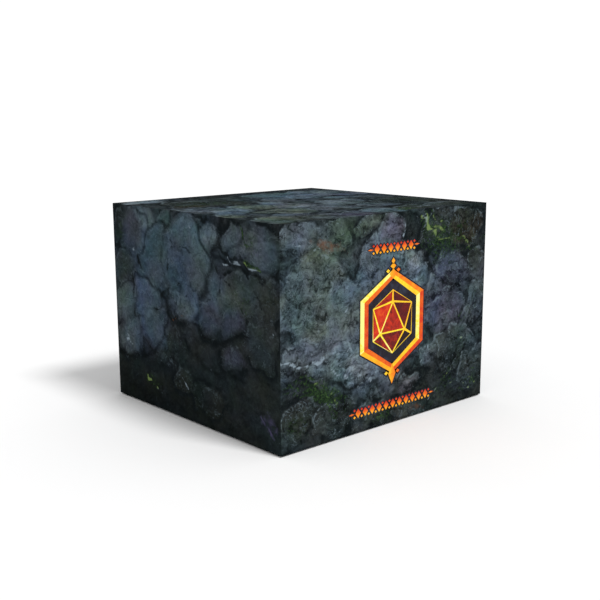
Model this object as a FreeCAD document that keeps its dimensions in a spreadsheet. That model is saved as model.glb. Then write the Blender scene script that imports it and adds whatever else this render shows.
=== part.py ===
# Board game box: a rigid two-piece box whose lid reaches down over the whole base, with a greyboard
# insert of nine fixed bays below and a lift-out tray above, and a small set of cards, dice, tokens and
# a rule book. Lengths are in millimetres. +Z is up, the front face looks along -Y, and the origin is
# the centre of the closed box's underside.
import FreeCAD, Part
import os
import re
import Sketcher

# Driving dimensions: name, value and meaning, one row of the sheet each.
SIZES = {
    "box_width": (300, "closed box along X"),
    "box_depth": (285, "closed box along Y"),
    "box_height": (220, "closed box along Z"),
    "rim_gap": (1.6, "lid rim above the underside of the base"),
    "board": (2.0, "greyboard of lid and base"),
    "wrap": (0.25, "printed wrap paper"),
    "liner": (0.2, "lining paper"),
    "tape": (0.1, "stay tape over the corner joints"),
    "tape_reach": (22, "stay tape on each side of a corner"),
    "turn_in": (18, "wrap folded over the rim to the inside"),
    "corner_slit": (0.3, "open joint between folded side walls"),
    "lid_slack": (0.8, "gap between lid and base on each side"),
    "insert_slack": (1.0, "gap between insert and base on each side"),
    "insert_board": (2.0, "greyboard of the insert"),
    "slot_slack": (0.3, "play of a board or tab in its slot"),
    "tab_height": (14, "height of the tabs on panel ends"),
    "tab_low": (10, "lower level of panel end tabs"),
    "tab_high": (36, "upper level of panel end tabs"),
    "foot_tab": (24, "length of the tabs under the tray walls"),
    "headroom": (9, "tray top below the base rim"),
    "tray_height": (66, "lift-out tray, floor included"),
    "tray_slack": (1.0, "gap between tray and book panel"),
    "panel_drop": (6, "book panel top below the tray top"),
    "partition_drop": (4, "tray partitions below the tray walls"),
    "finger_notch": (12, "radius of the notches in the tray's side walls"),
    "thumb_notch": (14, "radius of the notches in front of the cards"),
    "card_width": (63.5, "standard playing card"),
    "card_length": (88.5, "standard playing card"),
    "card_slack": (2, "gap around a deck in its well"),
    "card_corner": (3, "corner radius of a card"),
    "first_deck": (48, "height of the first deck"),
    "second_deck": (40, "height of the second deck"),
    "die_size": (16, "standard die"),
    "die_round": (2, "edge radius of a die"),
    "pip_ball": (1.5, "radius of the cutter for a pip"),
    "pip_depth": (0.6, "depth of a pip"),
    "pip_pitch": (4, "distance between pips"),
    "token_diameter": (38, "round punched token"),
    "token_thick": (3, "round punched token"),
    "token_slack": (8, "gap beside a token stack in its well"),
    "book_thick": (4, "rule book, covers included"),
    "book_slack": (1.5, "gap around the rule book in its pocket"),
    "book_headroom": (10, "rule book top below the base rim"),
    "cover_thick": (0.35, "cover sheet of the rule book"),
    "staple_wire": (0.6, "diameter of the staple wire"),
    "staple_crown": (12, "length of a staple along the spine"),
    "staple_leg": (3, "length of a staple leg"),
    "staple_bite": (0.1, "staple pressed into the cover"),
}

# Sizes and places that follow from the driving dimensions.
DERIVED = {
    "floor_wall": "wrap + board + liner",
    "side_wall": "floor_wall + wrap",
    "lid_height": "box_height - rim_gap",
    "base_width": "box_width - 2 * (side_wall + lid_slack)",
    "base_depth": "box_depth - 2 * (side_wall + lid_slack)",
    "base_height": "box_height - floor_wall",
    "insert_width": "base_width - 2 * (side_wall + insert_slack)",
    "insert_depth": "base_depth - 2 * (side_wall + insert_slack)",
    "insert_left": "0 - insert_width / 2",
    "insert_front": "0 - insert_depth / 2",
    "slot_width": "insert_board + slot_slack",
    "pocket_depth": "book_thick + 2 * book_slack",
    "bay_width": "insert_width / 3",
    "bay_depth": "(insert_depth - pocket_depth - insert_board) / 3",
    "bay_height": "base_height - floor_wall - headroom - tray_height",
    "panel_front": "insert_front + 3 * bay_depth",
    "panel_height": "bay_height + tray_height - panel_drop",
    "tray_bottom": "floor_wall + bay_height",
    "tray_floor_top": "tray_bottom + insert_board",
    "tray_depth": "3 * bay_depth - tray_slack",
    "tray_inside": "insert_width - 2 * insert_board",
    "wall_height": "tray_height - insert_board",
    "partition_height": "wall_height - partition_drop",
    "card_well": "card_width + 2 * card_slack",
    "card_row": "card_length + 2 * card_slack",
    "row_line": "tray_depth - 2 * insert_board - card_row",
    "front_row": "row_line - insert_board",
    "token_well": "token_diameter + 2 * token_slack",
    "token_line": "insert_width - 3 * insert_board - 2 * token_well",
    "token_middle": "token_line + insert_board + token_well",
    "token_row": "(front_row - insert_board) / 2",
    "dice_well": "2 * (card_well + insert_board)",
    "dice_room": "tray_inside - dice_well",
    "dice_margin": "0.75 * die_size",
    "book_width": "insert_width - 2 * book_slack",
    "book_height": "base_height - floor_wall - book_headroom",
    "book_left": "insert_left + book_slack",
    "book_front": "panel_front + insert_board + book_slack",
    "staple_line": "book_left + staple_bite - staple_wire / 2",
    "staple_plane": "book_front + book_thick / 2",
}

UPRIGHT_X = FreeCAD.Rotation(FreeCAD.Vector(1, 0, 0), 90)
UPRIGHT_Y = FreeCAD.Rotation(FreeCAD.Vector(1, 1, 1), 120)
FLAT = FreeCAD.Rotation()
UPSIDE_DOWN = FreeCAD.Rotation(FreeCAD.Vector(0, 1, 0), 180)

TOKENS_PER_STACK = 6
SIDES = (-1, 1)

# Pips of each face value, in pip pitches from the face's middle.
PIPS = {
    1: ((0, 0),),
    2: ((-1, -1), (1, 1)),
    3: ((-1, -1), (0, 0), (1, 1)),
    4: ((-1, -1), (-1, 1), (1, -1), (1, 1)),
    5: ((-1, -1), (-1, 1), (0, 0), (1, -1), (1, 1)),
    6: ((-1, -1), (-1, 0), (-1, 1), (1, -1), (1, 0), (1, 1)),
}
# The axis and side that each value faces: opposite faces add up to seven.
DIE_FACES = {6: ("z", 1), 1: ("z", -1), 5: ("y", 1), 2: ("y", -1), 3: ("x", 1), 4: ("x", -1)}
# Where each die lies in its well, as shares of the free range, its turn and how far it has tumbled.
DICE = ((0.05, 0.15, 12, 0), (0.50, 0.10, -25, 90), (0.95, 0.30, 40, 180), (0.25, 0.85, 5, 270),
        (0.75, 0.90, -33, 90))

doc = FreeCAD.newDocument("board_game_box")
sheet = doc.addObject("Spreadsheet::Sheet", "sizes")
nodes = []


def fill_sheet():
    """Write the driving dimensions into the sheet, one row each with an alias."""
    for row, (alias, (number, meaning)) in enumerate(SIZES.items(), start=1):
        sheet.set(f"A{row}", meaning)
        sheet.set(f"B{row}", str(number))
        sheet.setAlias(f"B{row}", alias)
    doc.recompute()


def formula(text):
    """Return an expression on the sheet's cells for a formula written with size names."""
    def expand(match):
        name = match[0]
        if name in DERIVED:
            return f"({formula(DERIVED[name])})"
        return f"sizes.{name}" if name in SIZES else name
    return re.sub(r"[a-z_]+", expand, text)


def value(text):
    """Return the number that a formula gives."""
    return float(sheet.evalExpression(formula(text)))


def bind(item, name, text):
    """Bind a property of item to a formula."""
    item.setExpression(name, formula(text))


def place(item, corner, rotation=FLAT):
    """Put item's own origin at a corner given as three formulas, turned by rotation."""
    item.Placement = FreeCAD.Placement(FreeCAD.Vector(*map(value, corner)), rotation)
    for axis, text in zip("xyz", corner):
        bind(item, f"Placement.Base.{axis}", text)


def node(item, label):
    """Name item as a finished sub-part."""
    item.Label = label
    nodes.append(item)
    return item


def block(name, size, corner):
    """Return a box from formulas for its three sides and its lowest corner."""
    box = doc.addObject("Part::Box", name)
    for side, text in zip(("Length", "Width", "Height"), size):
        bind(box, side, text)
    place(box, corner)
    return box


def cylinder(name, radius, length, start, rotation=FLAT):
    """Return a cylinder from formulas, its axis turned from +Z by rotation."""
    rod = doc.addObject("Part::Cylinder", name)
    bind(rod, "Radius", radius)
    bind(rod, "Height", length)
    place(rod, start, rotation)
    return rod


def cut(name, base, tool):
    """Return base with tool taken away."""
    result = doc.addObject("Part::Cut", name)
    result.Base = base
    result.Tool = tool
    return result


def fuse(name, pieces):
    """Return the union of pieces."""
    result = doc.addObject("Part::MultiFuse", name)
    result.Shapes = pieces
    return result


def group(name, pieces):
    """Return pieces as separate solids of one object."""
    result = doc.addObject("Part::Compound", name)
    result.Links = pieces
    return result


# Lid and base

def centred_block(name, width, depth, low, top):
    """Return a block centred on the Z axis between the heights low and top."""
    return block(name, (width, depth, f"{top} - ({low})"), (f"0 - ({width}) / 2", f"0 - ({depth}) / 2", low))


def strip_start(side, extent, inset, breadth):
    """Return the low coordinate of a strip whose outer face lies inset within one side of extent."""
    if side < 0:
        return f"0 - {extent} / 2 + {inset}"
    return f"{extent} / 2 - ({inset}) - {breadth}"


def corner_blocks(name, width, depth, sizes, insets, low, top):
    """Return one block in each of the four corners, with the given sizes and insets along X and Y."""
    blocks = []
    for side_y in SIDES:
        for side_x in SIDES:
            corner = (strip_start(side_x, width, insets[0], sizes[0]),
                      strip_start(side_y, depth, insets[1], sizes[1]), low)
            blocks.append(block(f"{name}_{len(blocks) + 1}", (*sizes, f"{top} - ({low})"), corner))
    return blocks


def make_half(half, width, depth, height, lift, rotation):
    """Model one half of the box, open side up, as board, wrap, liner and four stay tapes.

    half names the half, the sizes are formulas of its outside, and lift and rotation place it in the box.
    """
    def inset_block(name, inset, low, top):
        return centred_block(f"{half}_{name}", f"{width} - 2 * ({inset})", f"{depth} - 2 * ({inset})", low, top)

    inside = "wrap + board"
    rim = f"{height} - wrap"
    envelope = inset_block("envelope", "wrap", "wrap", rim)
    room = inset_block("room", inside, inside, height)
    slits = corner_blocks(f"{half}_slit", width, depth, ("board", "corner_slit"), ("wrap", inside),
                          inside, height)
    board = cut(f"{half}_folded_board", envelope, fuse(f"{half}_board_room", [room, *slits]))

    lining = inset_block("lining_block", inside, inside, rim)
    liner = cut(f"{half}_lining_sheet", lining, inset_block("lined_room", "floor_wall", "floor_wall", height))

    outer_inset = "wrap - tape"
    tapes = []
    for corner in corner_blocks(f"{half}_tape_corner", width, depth, ("tape_reach", "tape_reach"),
                                (outer_inset, outer_inset), "wrap", rim):
        tapes.append(cut(f"{corner.Name}_strip", corner, envelope))

    skin = inset_block("skin", "0", "0", height)
    flap = inset_block("flap_block", "floor_wall", f"{height} - turn_in", rim)
    mouth = inset_block("mouth", "side_wall", f"{height} - turn_in", f"{height} + wrap")
    paper = fuse(f"{half}_paper", [cut(f"{half}_shell", skin, envelope), flap])
    wrap = cut(f"{half}_wrap_sheet", paper, fuse(f"{half}_wrap_room", [mouth, *tapes]))

    pieces = {"board": board, "wrap": wrap, "liner": liner}
    for number, strip in enumerate(tapes, start=1):
        # The wrap's room is cut in the half's own frame, so the placed tape is a copy of its strip.
        pieces[f"stay_tape_{number}"] = group(f"{half}_placed_tape_{number}", [strip])
    for piece, item in pieces.items():
        node(item, f"{half}_{piece}")
        place(item, ("0", "0", lift), rotation)


# Insert panels

def rectangle(left, bottom, width, height):
    """Return a rectangle's corners as formulas."""
    right = f"{left} + {width}"
    top = f"{bottom} + {height}"
    return ((left, bottom), (right, bottom), (right, top), (left, top))


def hold(sketch, kind, line, spot, text):
    """Hold a point of a line or a circle's centre at a distance from the sketch's origin."""
    index = sketch.addConstraint(Sketcher.Constraint(kind, -1, 1, line, spot, value(text)))
    bind(sketch, f"Constraints[{index}]", text)


def draw_loop(sketch, points):
    """Draw a closed loop of straight lines through points, each held at its own distances."""
    first = sketch.GeometryCount
    spots = [FreeCAD.Vector(value(x), value(y), 0) for x, y in points]
    for start, end in zip(spots, spots[1:] + spots[:1]):
        sketch.addGeometry(Part.LineSegment(start, end), False)
    for index, (x, y) in enumerate(points):
        following = first + (index + 1) % len(points)
        sketch.addConstraint(Sketcher.Constraint("Coincident", first + index, 2, following, 1))
        hold(sketch, "DistanceX", first + index, 1, x)
        hold(sketch, "DistanceY", first + index, 1, y)


def draw_circle(sketch, x, y, radius):
    """Draw a circle, held by its centre and radius."""
    circle = Part.Circle(FreeCAD.Vector(value(x), value(y), 0), FreeCAD.Vector(0, 0, 1), value(radius))
    index = sketch.addGeometry(circle, False)
    hold(sketch, "DistanceX", index, 3, x)
    hold(sketch, "DistanceY", index, 3, y)
    size = sketch.addConstraint(Sketcher.Constraint("Radius", index, value(radius)))
    bind(sketch, f"Constraints[{size}]", radius)


def new_sketch(body, name):
    """Return a sketch on the body's own XY plane."""
    plane = next(item for item in body.Origin.OriginFeatures if item.Role == "XY_Plane")
    sketch = body.newObject("Sketcher::SketchObject", name)
    sketch.AttachmentSupport = [(plane, "")]
    sketch.MapMode = "FlatFace"
    return sketch


def pad(body, name, loops, length):
    """Pad closed loops of the XY plane upwards by a formula."""
    profile = new_sketch(body, f"{name}_outline")
    for loop in loops:
        draw_loop(profile, loop)
    feature = body.newObject("PartDesign::Pad", name)
    feature.Profile = profile
    bind(feature, "Length", length)
    return feature


def pocket(body, name, loops, circles):
    """Cut closed loops and circles of the XY plane through everything above it."""
    profile = new_sketch(body, f"{name}_outline")
    for loop in loops:
        draw_loop(profile, loop)
    for circle in circles:
        draw_circle(profile, *circle)
    feature = body.newObject("PartDesign::Pocket", name)
    feature.Profile = profile
    feature.Type = "ThroughAll"
    feature.Reversed = True
    return feature


def make_panel(label, rotation, corner, outline, tabs=(), slots=(), notches=()):
    """Model a panel of insert board with its tabs, slots and round notches.

    The panel is drawn flat and turned up by rotation. Corner is its lowest corner in the box.
    """
    body = doc.addObject("PartDesign::Body", f"{label}_panel")
    pad(body, f"{label}_sheet", [outline], "insert_board")
    if tabs:
        pad(body, f"{label}_tabs", tabs, "insert_board")
    if slots or notches:
        pocket(body, f"{label}_slots", slots, notches)
    node(body, label)
    x, y, z = corner
    place(body, (x, f"{y} + insert_board" if rotation is UPRIGHT_X else y, z), rotation)


def slot_at(middle, bottom, height):
    """Return an upright slot for a board's thickness, centred on middle."""
    return rectangle(f"{middle} - slot_width / 2", bottom, "slot_width", height)


def mortise_at(middle, level):
    """Return a slot that takes the end tab of another panel."""
    return slot_at(middle, f"{level} - slot_slack / 2", "tab_height + slot_slack")


def end_tabs(first, last, level):
    """Return the tabs at both ends of a panel, with their low coordinates along it."""
    return [rectangle(start, level, "insert_board", "tab_height") for start in (first, last)]


def foot_starts(length):
    """Return where the two tabs under a tray wall of this length start."""
    return [f"{quarter} * ({length}) / 4 - foot_tab / 2" for quarter in (1, 3)]


def make_bays():
    """Model the fixed lower layer: crossed dividers and the panel that fences off the rule book."""
    half = "bay_height / 2"
    columns = [f"{number} * bay_width" for number in (1, 2)]
    rows = [f"{number} * bay_depth" for number in (1, 2)]
    for number, row in enumerate(rows, start=1):
        make_panel(f"bay_row_divider_{number}", UPRIGHT_X,
                   ("insert_left", f"insert_front + {row} - insert_board / 2", "floor_wall"),
                   rectangle("0", "0", "insert_width", "bay_height"),
                   slots=[slot_at(column, half, half) for column in columns])
    for number, column in enumerate(columns, start=1):
        make_panel(f"bay_column_divider_{number}", UPRIGHT_Y,
                   (f"insert_left + {column} - insert_board / 2", "insert_front", "floor_wall"),
                   rectangle("0", "0", "3 * bay_depth", "bay_height"),
                   tabs=[rectangle("3 * bay_depth", "tab_high", "insert_board", "tab_height")],
                   slots=[slot_at(row, "0", half) for row in rows])
    make_panel("book_panel", UPRIGHT_X, ("insert_left", "panel_front", "floor_wall"),
               rectangle("0", "0", "insert_width", "panel_height"),
               slots=[mortise_at(column, "tab_high") for column in columns])


def make_tray_shell():
    """Model the tray's floor and its four walls, joined by tabs in open notches."""
    far_side = "insert_width - insert_board"
    far_end = "tray_depth - insert_board"
    wide_feet = foot_starts("insert_width")
    deep_feet = foot_starts("tray_depth")
    foot_slot = "foot_tab + slot_slack"
    floor_slots = []
    for start in wide_feet:
        for low in ("0", far_end):
            floor_slots.append(rectangle(f"{start} - slot_slack / 2", low, foot_slot, "insert_board"))
    for start in deep_feet:
        for low in ("0", far_side):
            floor_slots.append(rectangle(low, f"{start} - slot_slack / 2", "insert_board", foot_slot))
    make_panel("tray_floor", FLAT, ("insert_left", "insert_front", "tray_bottom"),
               rectangle("0", "0", "insert_width", "tray_depth"), slots=floor_slots)

    corner_level = "tab_high"
    corner_slots = []
    for low in ("0", far_side):
        corner_slots.append(rectangle(low, f"{corner_level} - slot_slack / 2", "insert_board",
                                      "tab_height + slot_slack"))
    token_joints = [mortise_at(f"{line} + insert_board / 2", "tab_low + insert_board")
                    for line in ("token_line", "token_middle")]
    card_joints = [mortise_at(f"{card_line(number)} + insert_board / 2", "tab_low + insert_board")
                   for number in (1, 2)]
    for label, front, joints in (("tray_front_wall", "insert_front", token_joints),
                                 ("tray_back_wall", f"insert_front + {far_end}", card_joints)):
        make_panel(label, UPRIGHT_X, ("insert_left", front, "tray_bottom"),
                   rectangle("0", "insert_board", "insert_width", "wall_height"),
                   tabs=[rectangle(start, "0", "foot_tab", "insert_board") for start in wide_feet],
                   slots=corner_slots + joints)

    row_joint = mortise_at("row_line + insert_board / 2", "tab_low + insert_board")
    token_joint = mortise_at("insert_board + token_row + insert_board / 2", "tab_high + insert_board")
    for label, left, joints in (("tray_left_wall", "insert_left", [row_joint]),
                                ("tray_right_wall", f"insert_left + {far_side}", [row_joint, token_joint])):
        make_panel(label, UPRIGHT_Y, (left, "insert_front", "tray_bottom"),
                   rectangle("insert_board", "insert_board", "tray_depth - 2 * insert_board", "wall_height"),
                   tabs=[*end_tabs("0", far_end, corner_level),
                         *(rectangle(start, "0", "foot_tab", "insert_board") for start in deep_feet)],
                   slots=joints,
                   notches=[("tray_depth / 2", "tray_height", "finger_notch")])


def card_line(number):
    """Return where a card partition starts, counted from the insert's left side."""
    return f"insert_board + {number} * card_well + {number - 1} * insert_board"


def make_tray_partitions():
    """Model the partitions that divide the tray into card, dice, figure and token wells."""
    far_side = "insert_width - insert_board"
    full = "partition_height"
    half = "partition_height / 2"
    card_lines = [card_line(number) for number in (1, 2)]
    middles = [f"{line} - card_well / 2" for line in card_lines]
    make_panel("row_partition", UPRIGHT_X, ("insert_left", "insert_front + row_line", "tray_floor_top"),
               rectangle("insert_board", "0", "tray_inside", full),
               tabs=end_tabs("0", far_side, "tab_low"),
               slots=[*(mortise_at(f"{line} + insert_board / 2", "tab_high") for line in card_lines),
                      *(mortise_at(f"{line} + insert_board / 2", "tab_low")
                        for line in ("token_line", "token_middle"))],
               notches=[(middle, full, "thumb_notch") for middle in middles])
    for number, line in enumerate(card_lines, start=1):
        # The front tab sits high, clear of the token partitions' tabs in the same panel.
        make_panel(f"card_partition_{number}", UPRIGHT_Y,
                   (f"insert_left + {line}", "insert_front + row_line", "tray_floor_top"),
                   rectangle("insert_board", "0", "card_row", full),
                   tabs=[rectangle("0", "tab_high", "insert_board", "tab_height"),
                         rectangle("insert_board + card_row", "tab_low", "insert_board", "tab_height")])
    crossing = "insert_board + token_row + insert_board / 2"
    for label, line, slot in (("token_partition", "token_line", mortise_at(crossing, "tab_high")),
                              ("token_column_partition", "token_middle", slot_at(crossing, "0", half))):
        make_panel(label, UPRIGHT_Y, (f"insert_left + {line}", "insert_front", "tray_floor_top"),
                   rectangle("insert_board", "0", "front_row", full),
                   tabs=end_tabs("0", "insert_board + front_row", "tab_low"), slots=[slot])
    make_panel("token_row_partition", UPRIGHT_X,
               ("insert_left + token_line", "insert_front + insert_board + token_row", "tray_floor_top"),
               rectangle("insert_board", "0", "2 * token_well + insert_board", full),
               tabs=end_tabs("0", "2 * (insert_board + token_well)", "tab_high"),
               slots=[slot_at("token_well + 3 * insert_board / 2", half, half)])


# Contents

def make_decks():
    """Model the two decks of cards, each a block with a card's rounded corners."""
    for number, height in enumerate(("first_deck", "second_deck"), start=1):
        body = doc.addObject("PartDesign::Body", f"deck_{number}")
        stack = pad(body, f"deck_{number}_stack", [rectangle("0", "0", "card_width", "card_length")], height)
        doc.recompute()
        upright = [f"Edge{index}" for index, edge in enumerate(stack.Shape.Edges, start=1)
                   if abs(edge.tangentAt(edge.FirstParameter).z) > 0.99]
        rounding = body.newObject("PartDesign::Fillet", f"deck_{number}_corners")
        rounding.Base = (stack, upright)
        bind(rounding, "Radius", "card_corner")
        node(body, f"card_deck_{number}")
        place(body, (f"insert_left + {card_line(number)} - card_well + card_slack",
                     "insert_front + row_line + insert_board + card_slack", "tray_floor_top"))


def pip_cutters():
    """Return the balls that cut a die's pips, around a die centred on the origin."""
    cutters = []
    for face, (axis, side) in DIE_FACES.items():
        across = [other for other in "xyz" if other != axis]
        for pip in PIPS[face]:
            ball = doc.addObject("Part::Sphere", "pip")
            bind(ball, "Radius", "pip_ball")
            spot = {axis: f"{side} * (die_size / 2 + pip_ball - pip_depth)"}
            spot.update((other, f"{step} * pip_pitch") for other, step in zip(across, pip))
            place(ball, (spot["x"], spot["y"], spot["z"]))
            cutters.append(ball)
    return cutters


def make_dice():
    """Model one rounded die and lay copies of it about in the dice well."""
    body = doc.addObject("PartDesign::Body", "die_body")
    cube = pad(body, "die_cube", [rectangle("0", "0", "die_size", "die_size")], "die_size")
    doc.recompute()
    rounding = body.newObject("PartDesign::Fillet", "die_edges")
    rounding.Base = (cube, [f"Edge{index}" for index in range(1, len(cube.Shape.Edges) + 1)])
    bind(rounding, "Radius", "die_round")
    place(body, ("0 - die_size / 2",) * 3)
    pattern = cut("die_pattern", body, group("pips", pip_cutters()))
    for number, (across, along, turn, tumble) in enumerate(DICE, start=1):
        corner = (f"insert_left + insert_board + dice_well + dice_margin + {across} * (dice_room - 2 * dice_margin)",
                  f"insert_front + row_line + insert_board + dice_margin + {along} * (card_row - 2 * dice_margin)",
                  "tray_floor_top + die_size / 2")
        rotation = FreeCAD.Rotation(FreeCAD.Vector(0, 0, 1), turn) * FreeCAD.Rotation(FreeCAD.Vector(1, 0, 0), tumble)
        place(node(group(f"loose_die_{number}", [pattern]), f"die_{number}"), corner, rotation)


def make_tokens():
    """Model a stack of separate tokens in the middle of each token well."""
    discs = [cylinder(f"disc_{level + 1}", "token_diameter / 2", "token_thick", ("0", "0", f"{level} * token_thick"))
             for level in range(TOKENS_PER_STACK)]
    columns = [f"insert_left + {line} + insert_board + token_well / 2" for line in ("token_line", "token_middle")]
    rows = [f"insert_front + insert_board + token_row / 2 + {step} * (token_row + insert_board)" for step in (0, 1)]
    for number, (x, y) in enumerate(((x, y) for y in rows for x in columns), start=1):
        stack = node(group(f"tokens_{number}", discs), f"token_stack_{number}")
        place(stack, (x, y, "tray_floor_top"))


def make_staple(number, height):
    """Return one staple whose crown lies outside the spine, centred on height."""
    to_pages = FreeCAD.Rotation(FreeCAD.Vector(0, 1, 0), 90)
    radius = "staple_wire / 2"
    low = f"{height} - staple_crown / 2"
    wires = [cylinder(f"crown_{number}", radius, "staple_crown", ("staple_line", "staple_plane", low))]
    for end in (low, f"{height} + staple_crown / 2"):
        wires.append(cylinder(f"leg_{number}", radius, "staple_leg", ("staple_line", "staple_plane", end), to_pages))
    return fuse(f"staple_{number}", wires)


def make_book():
    """Model the rule book: a cover folded round its pages and two staples through the spine."""
    corner = ("book_left", "book_front", "floor_wall")
    inner_corner = ("book_left + cover_thick", "book_front + cover_thick", "floor_wall")
    inner_size = ("book_width - cover_thick", "book_thick - 2 * cover_thick", "book_height")
    staples = group("staples", [make_staple(number, f"floor_wall + {quarter} * book_height / 4")
                                for number, quarter in enumerate((1, 3), start=1)])
    folded = cut("folded_cover", block("cover_block", ("book_width", "book_thick", "book_height"), corner),
                 block("cover_room", inner_size, inner_corner))
    node(cut("stapled_cover", folded, staples), "rulebook_cover")
    node(cut("stapled_pages", block("page_block", inner_size, inner_corner), staples), "rulebook_pages")
    node(staples, "rulebook_staples")


def check_model():
    """Stop with a message if a feature failed, a pocket cut nothing or a sub-part has no sound solid."""
    for item in doc.Objects:
        if {"Invalid", "Error"} & set(item.State):
            raise RuntimeError(f"{item.Label} did not compute: {item.State}")
        if item.isDerivedFrom("PartDesign::Pocket") and item.Shape.Volume >= item.BaseFeature.Shape.Volume:
            raise RuntimeError(f"{item.Label} cuts nothing")
    for item in nodes:
        if item.Shape.isNull() or not item.Shape.isValid() or not item.Shape.Solids:
            raise RuntimeError(f"{item.Label} has no sound solid")


def write_parts():
    """Write each sub-part to its own file."""
    os.makedirs("parts", exist_ok=True)
    for item in nodes:
        item.Shape.exportStep(f"parts/{item.Label}.step")
    print(f"{len(nodes)} sub-parts written")


fill_sheet()
make_half("lid", "box_width", "box_depth", "lid_height", "box_height", UPSIDE_DOWN)
make_half("base", "base_width", "base_depth", "base_height", "0", FLAT)
make_bays()
make_tray_shell()
make_tray_partitions()
make_decks()
make_dice()
make_tokens()
make_book()
doc.recompute()
check_model()
write_parts()
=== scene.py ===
"""Looks of a rigid board game box: printed wraps, emblem, inner boards and the pieces kept inside.

Lengths are in metres in the box's own frame, +Z up with the emblem on the -Y face. Artwork is laid
out in millimetres on each face, counted from its lower left corner as seen from outside.
"""
from __future__ import annotations

import logging
import math
from dataclasses import dataclass, field
from enum import Enum
from typing import Callable, Iterable, Sequence

import bmesh
import bpy
import numpy as np
from mathutils import Matrix, Vector

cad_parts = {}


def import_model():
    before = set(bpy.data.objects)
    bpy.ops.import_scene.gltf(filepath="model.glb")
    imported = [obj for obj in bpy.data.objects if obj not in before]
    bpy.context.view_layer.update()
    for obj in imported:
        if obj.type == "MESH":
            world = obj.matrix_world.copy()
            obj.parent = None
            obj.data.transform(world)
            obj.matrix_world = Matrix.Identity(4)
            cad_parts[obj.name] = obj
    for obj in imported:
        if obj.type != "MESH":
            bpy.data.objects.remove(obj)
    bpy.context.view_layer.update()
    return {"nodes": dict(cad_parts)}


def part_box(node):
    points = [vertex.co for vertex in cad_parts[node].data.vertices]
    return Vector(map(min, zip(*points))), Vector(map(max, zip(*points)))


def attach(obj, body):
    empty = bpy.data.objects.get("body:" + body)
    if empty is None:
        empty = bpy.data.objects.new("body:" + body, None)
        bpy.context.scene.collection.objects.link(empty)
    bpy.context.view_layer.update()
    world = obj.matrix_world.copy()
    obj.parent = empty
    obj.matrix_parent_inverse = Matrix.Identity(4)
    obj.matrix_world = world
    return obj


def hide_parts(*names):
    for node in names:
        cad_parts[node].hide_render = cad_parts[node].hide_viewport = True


LOG = logging.getLogger("game_box")
MM = 0.001
FAR_AWAY = 1e4  # millimetres, past any point of a face
LIGHT_BEARING = 118.0  # degrees, where the painted light comes from on a face

Colour = tuple[float, float, float]
Point = tuple[float, float]
Heat = Callable[[Vector, Vector], float]


def printed(red: float, green: float, blue: float) -> Colour:
    """Turn a printed colour, 0 to 255, into linear light.

    Args:
        red: Red share, 0 to 255.
        green: Green share, 0 to 255.
        blue: Blue share, 0 to 255.

    Returns:
        The colour as three linear values.
    """
    return tuple(((c / 255 + 0.055) / 1.055) ** 2.4 if c > 10 else c / 3294.6 for c in (red, green, blue))


# Node graphs


class Value:
    """A node's output that sums and products can be written with."""

    def __init__(self, graph: Graph, socket: bpy.types.NodeSocket) -> None:
        """Keep the socket and its graph."""
        self.graph = graph
        self.socket = socket

    def __add__(self, other: object) -> Value:
        """Return the sum."""
        return self.graph.math("ADD", self, other)

    def __sub__(self, other: object) -> Value:
        """Return the difference."""
        return self.graph.math("SUBTRACT", self, other)

    def __mul__(self, other: object) -> Value:
        """Return the product."""
        return self.graph.math("MULTIPLY", self, other)

    def __abs__(self) -> Value:
        """Return the size without its sign."""
        return self.graph.math("ABSOLUTE", self)

    def span(self, low: float, high: float, start: float = 0.0, end: float = 1.0,
             smooth: bool = True) -> Value:
        """Spread the value between low and high over start to end.

        Args:
            low: Where the result is start.
            high: Where the result is end.
            start: The result at low.
            end: The result at high.
            smooth: Ease in and out instead of a straight line.

        Returns:
            The result.
        """
        node = self.graph.add("MapRange", {0: self, 1: low, 2: high, 3: start, 4: end},
                              interpolation_type="SMOOTHSTEP" if smooth else "LINEAR")
        return Value(self.graph, node.outputs[0])


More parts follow.
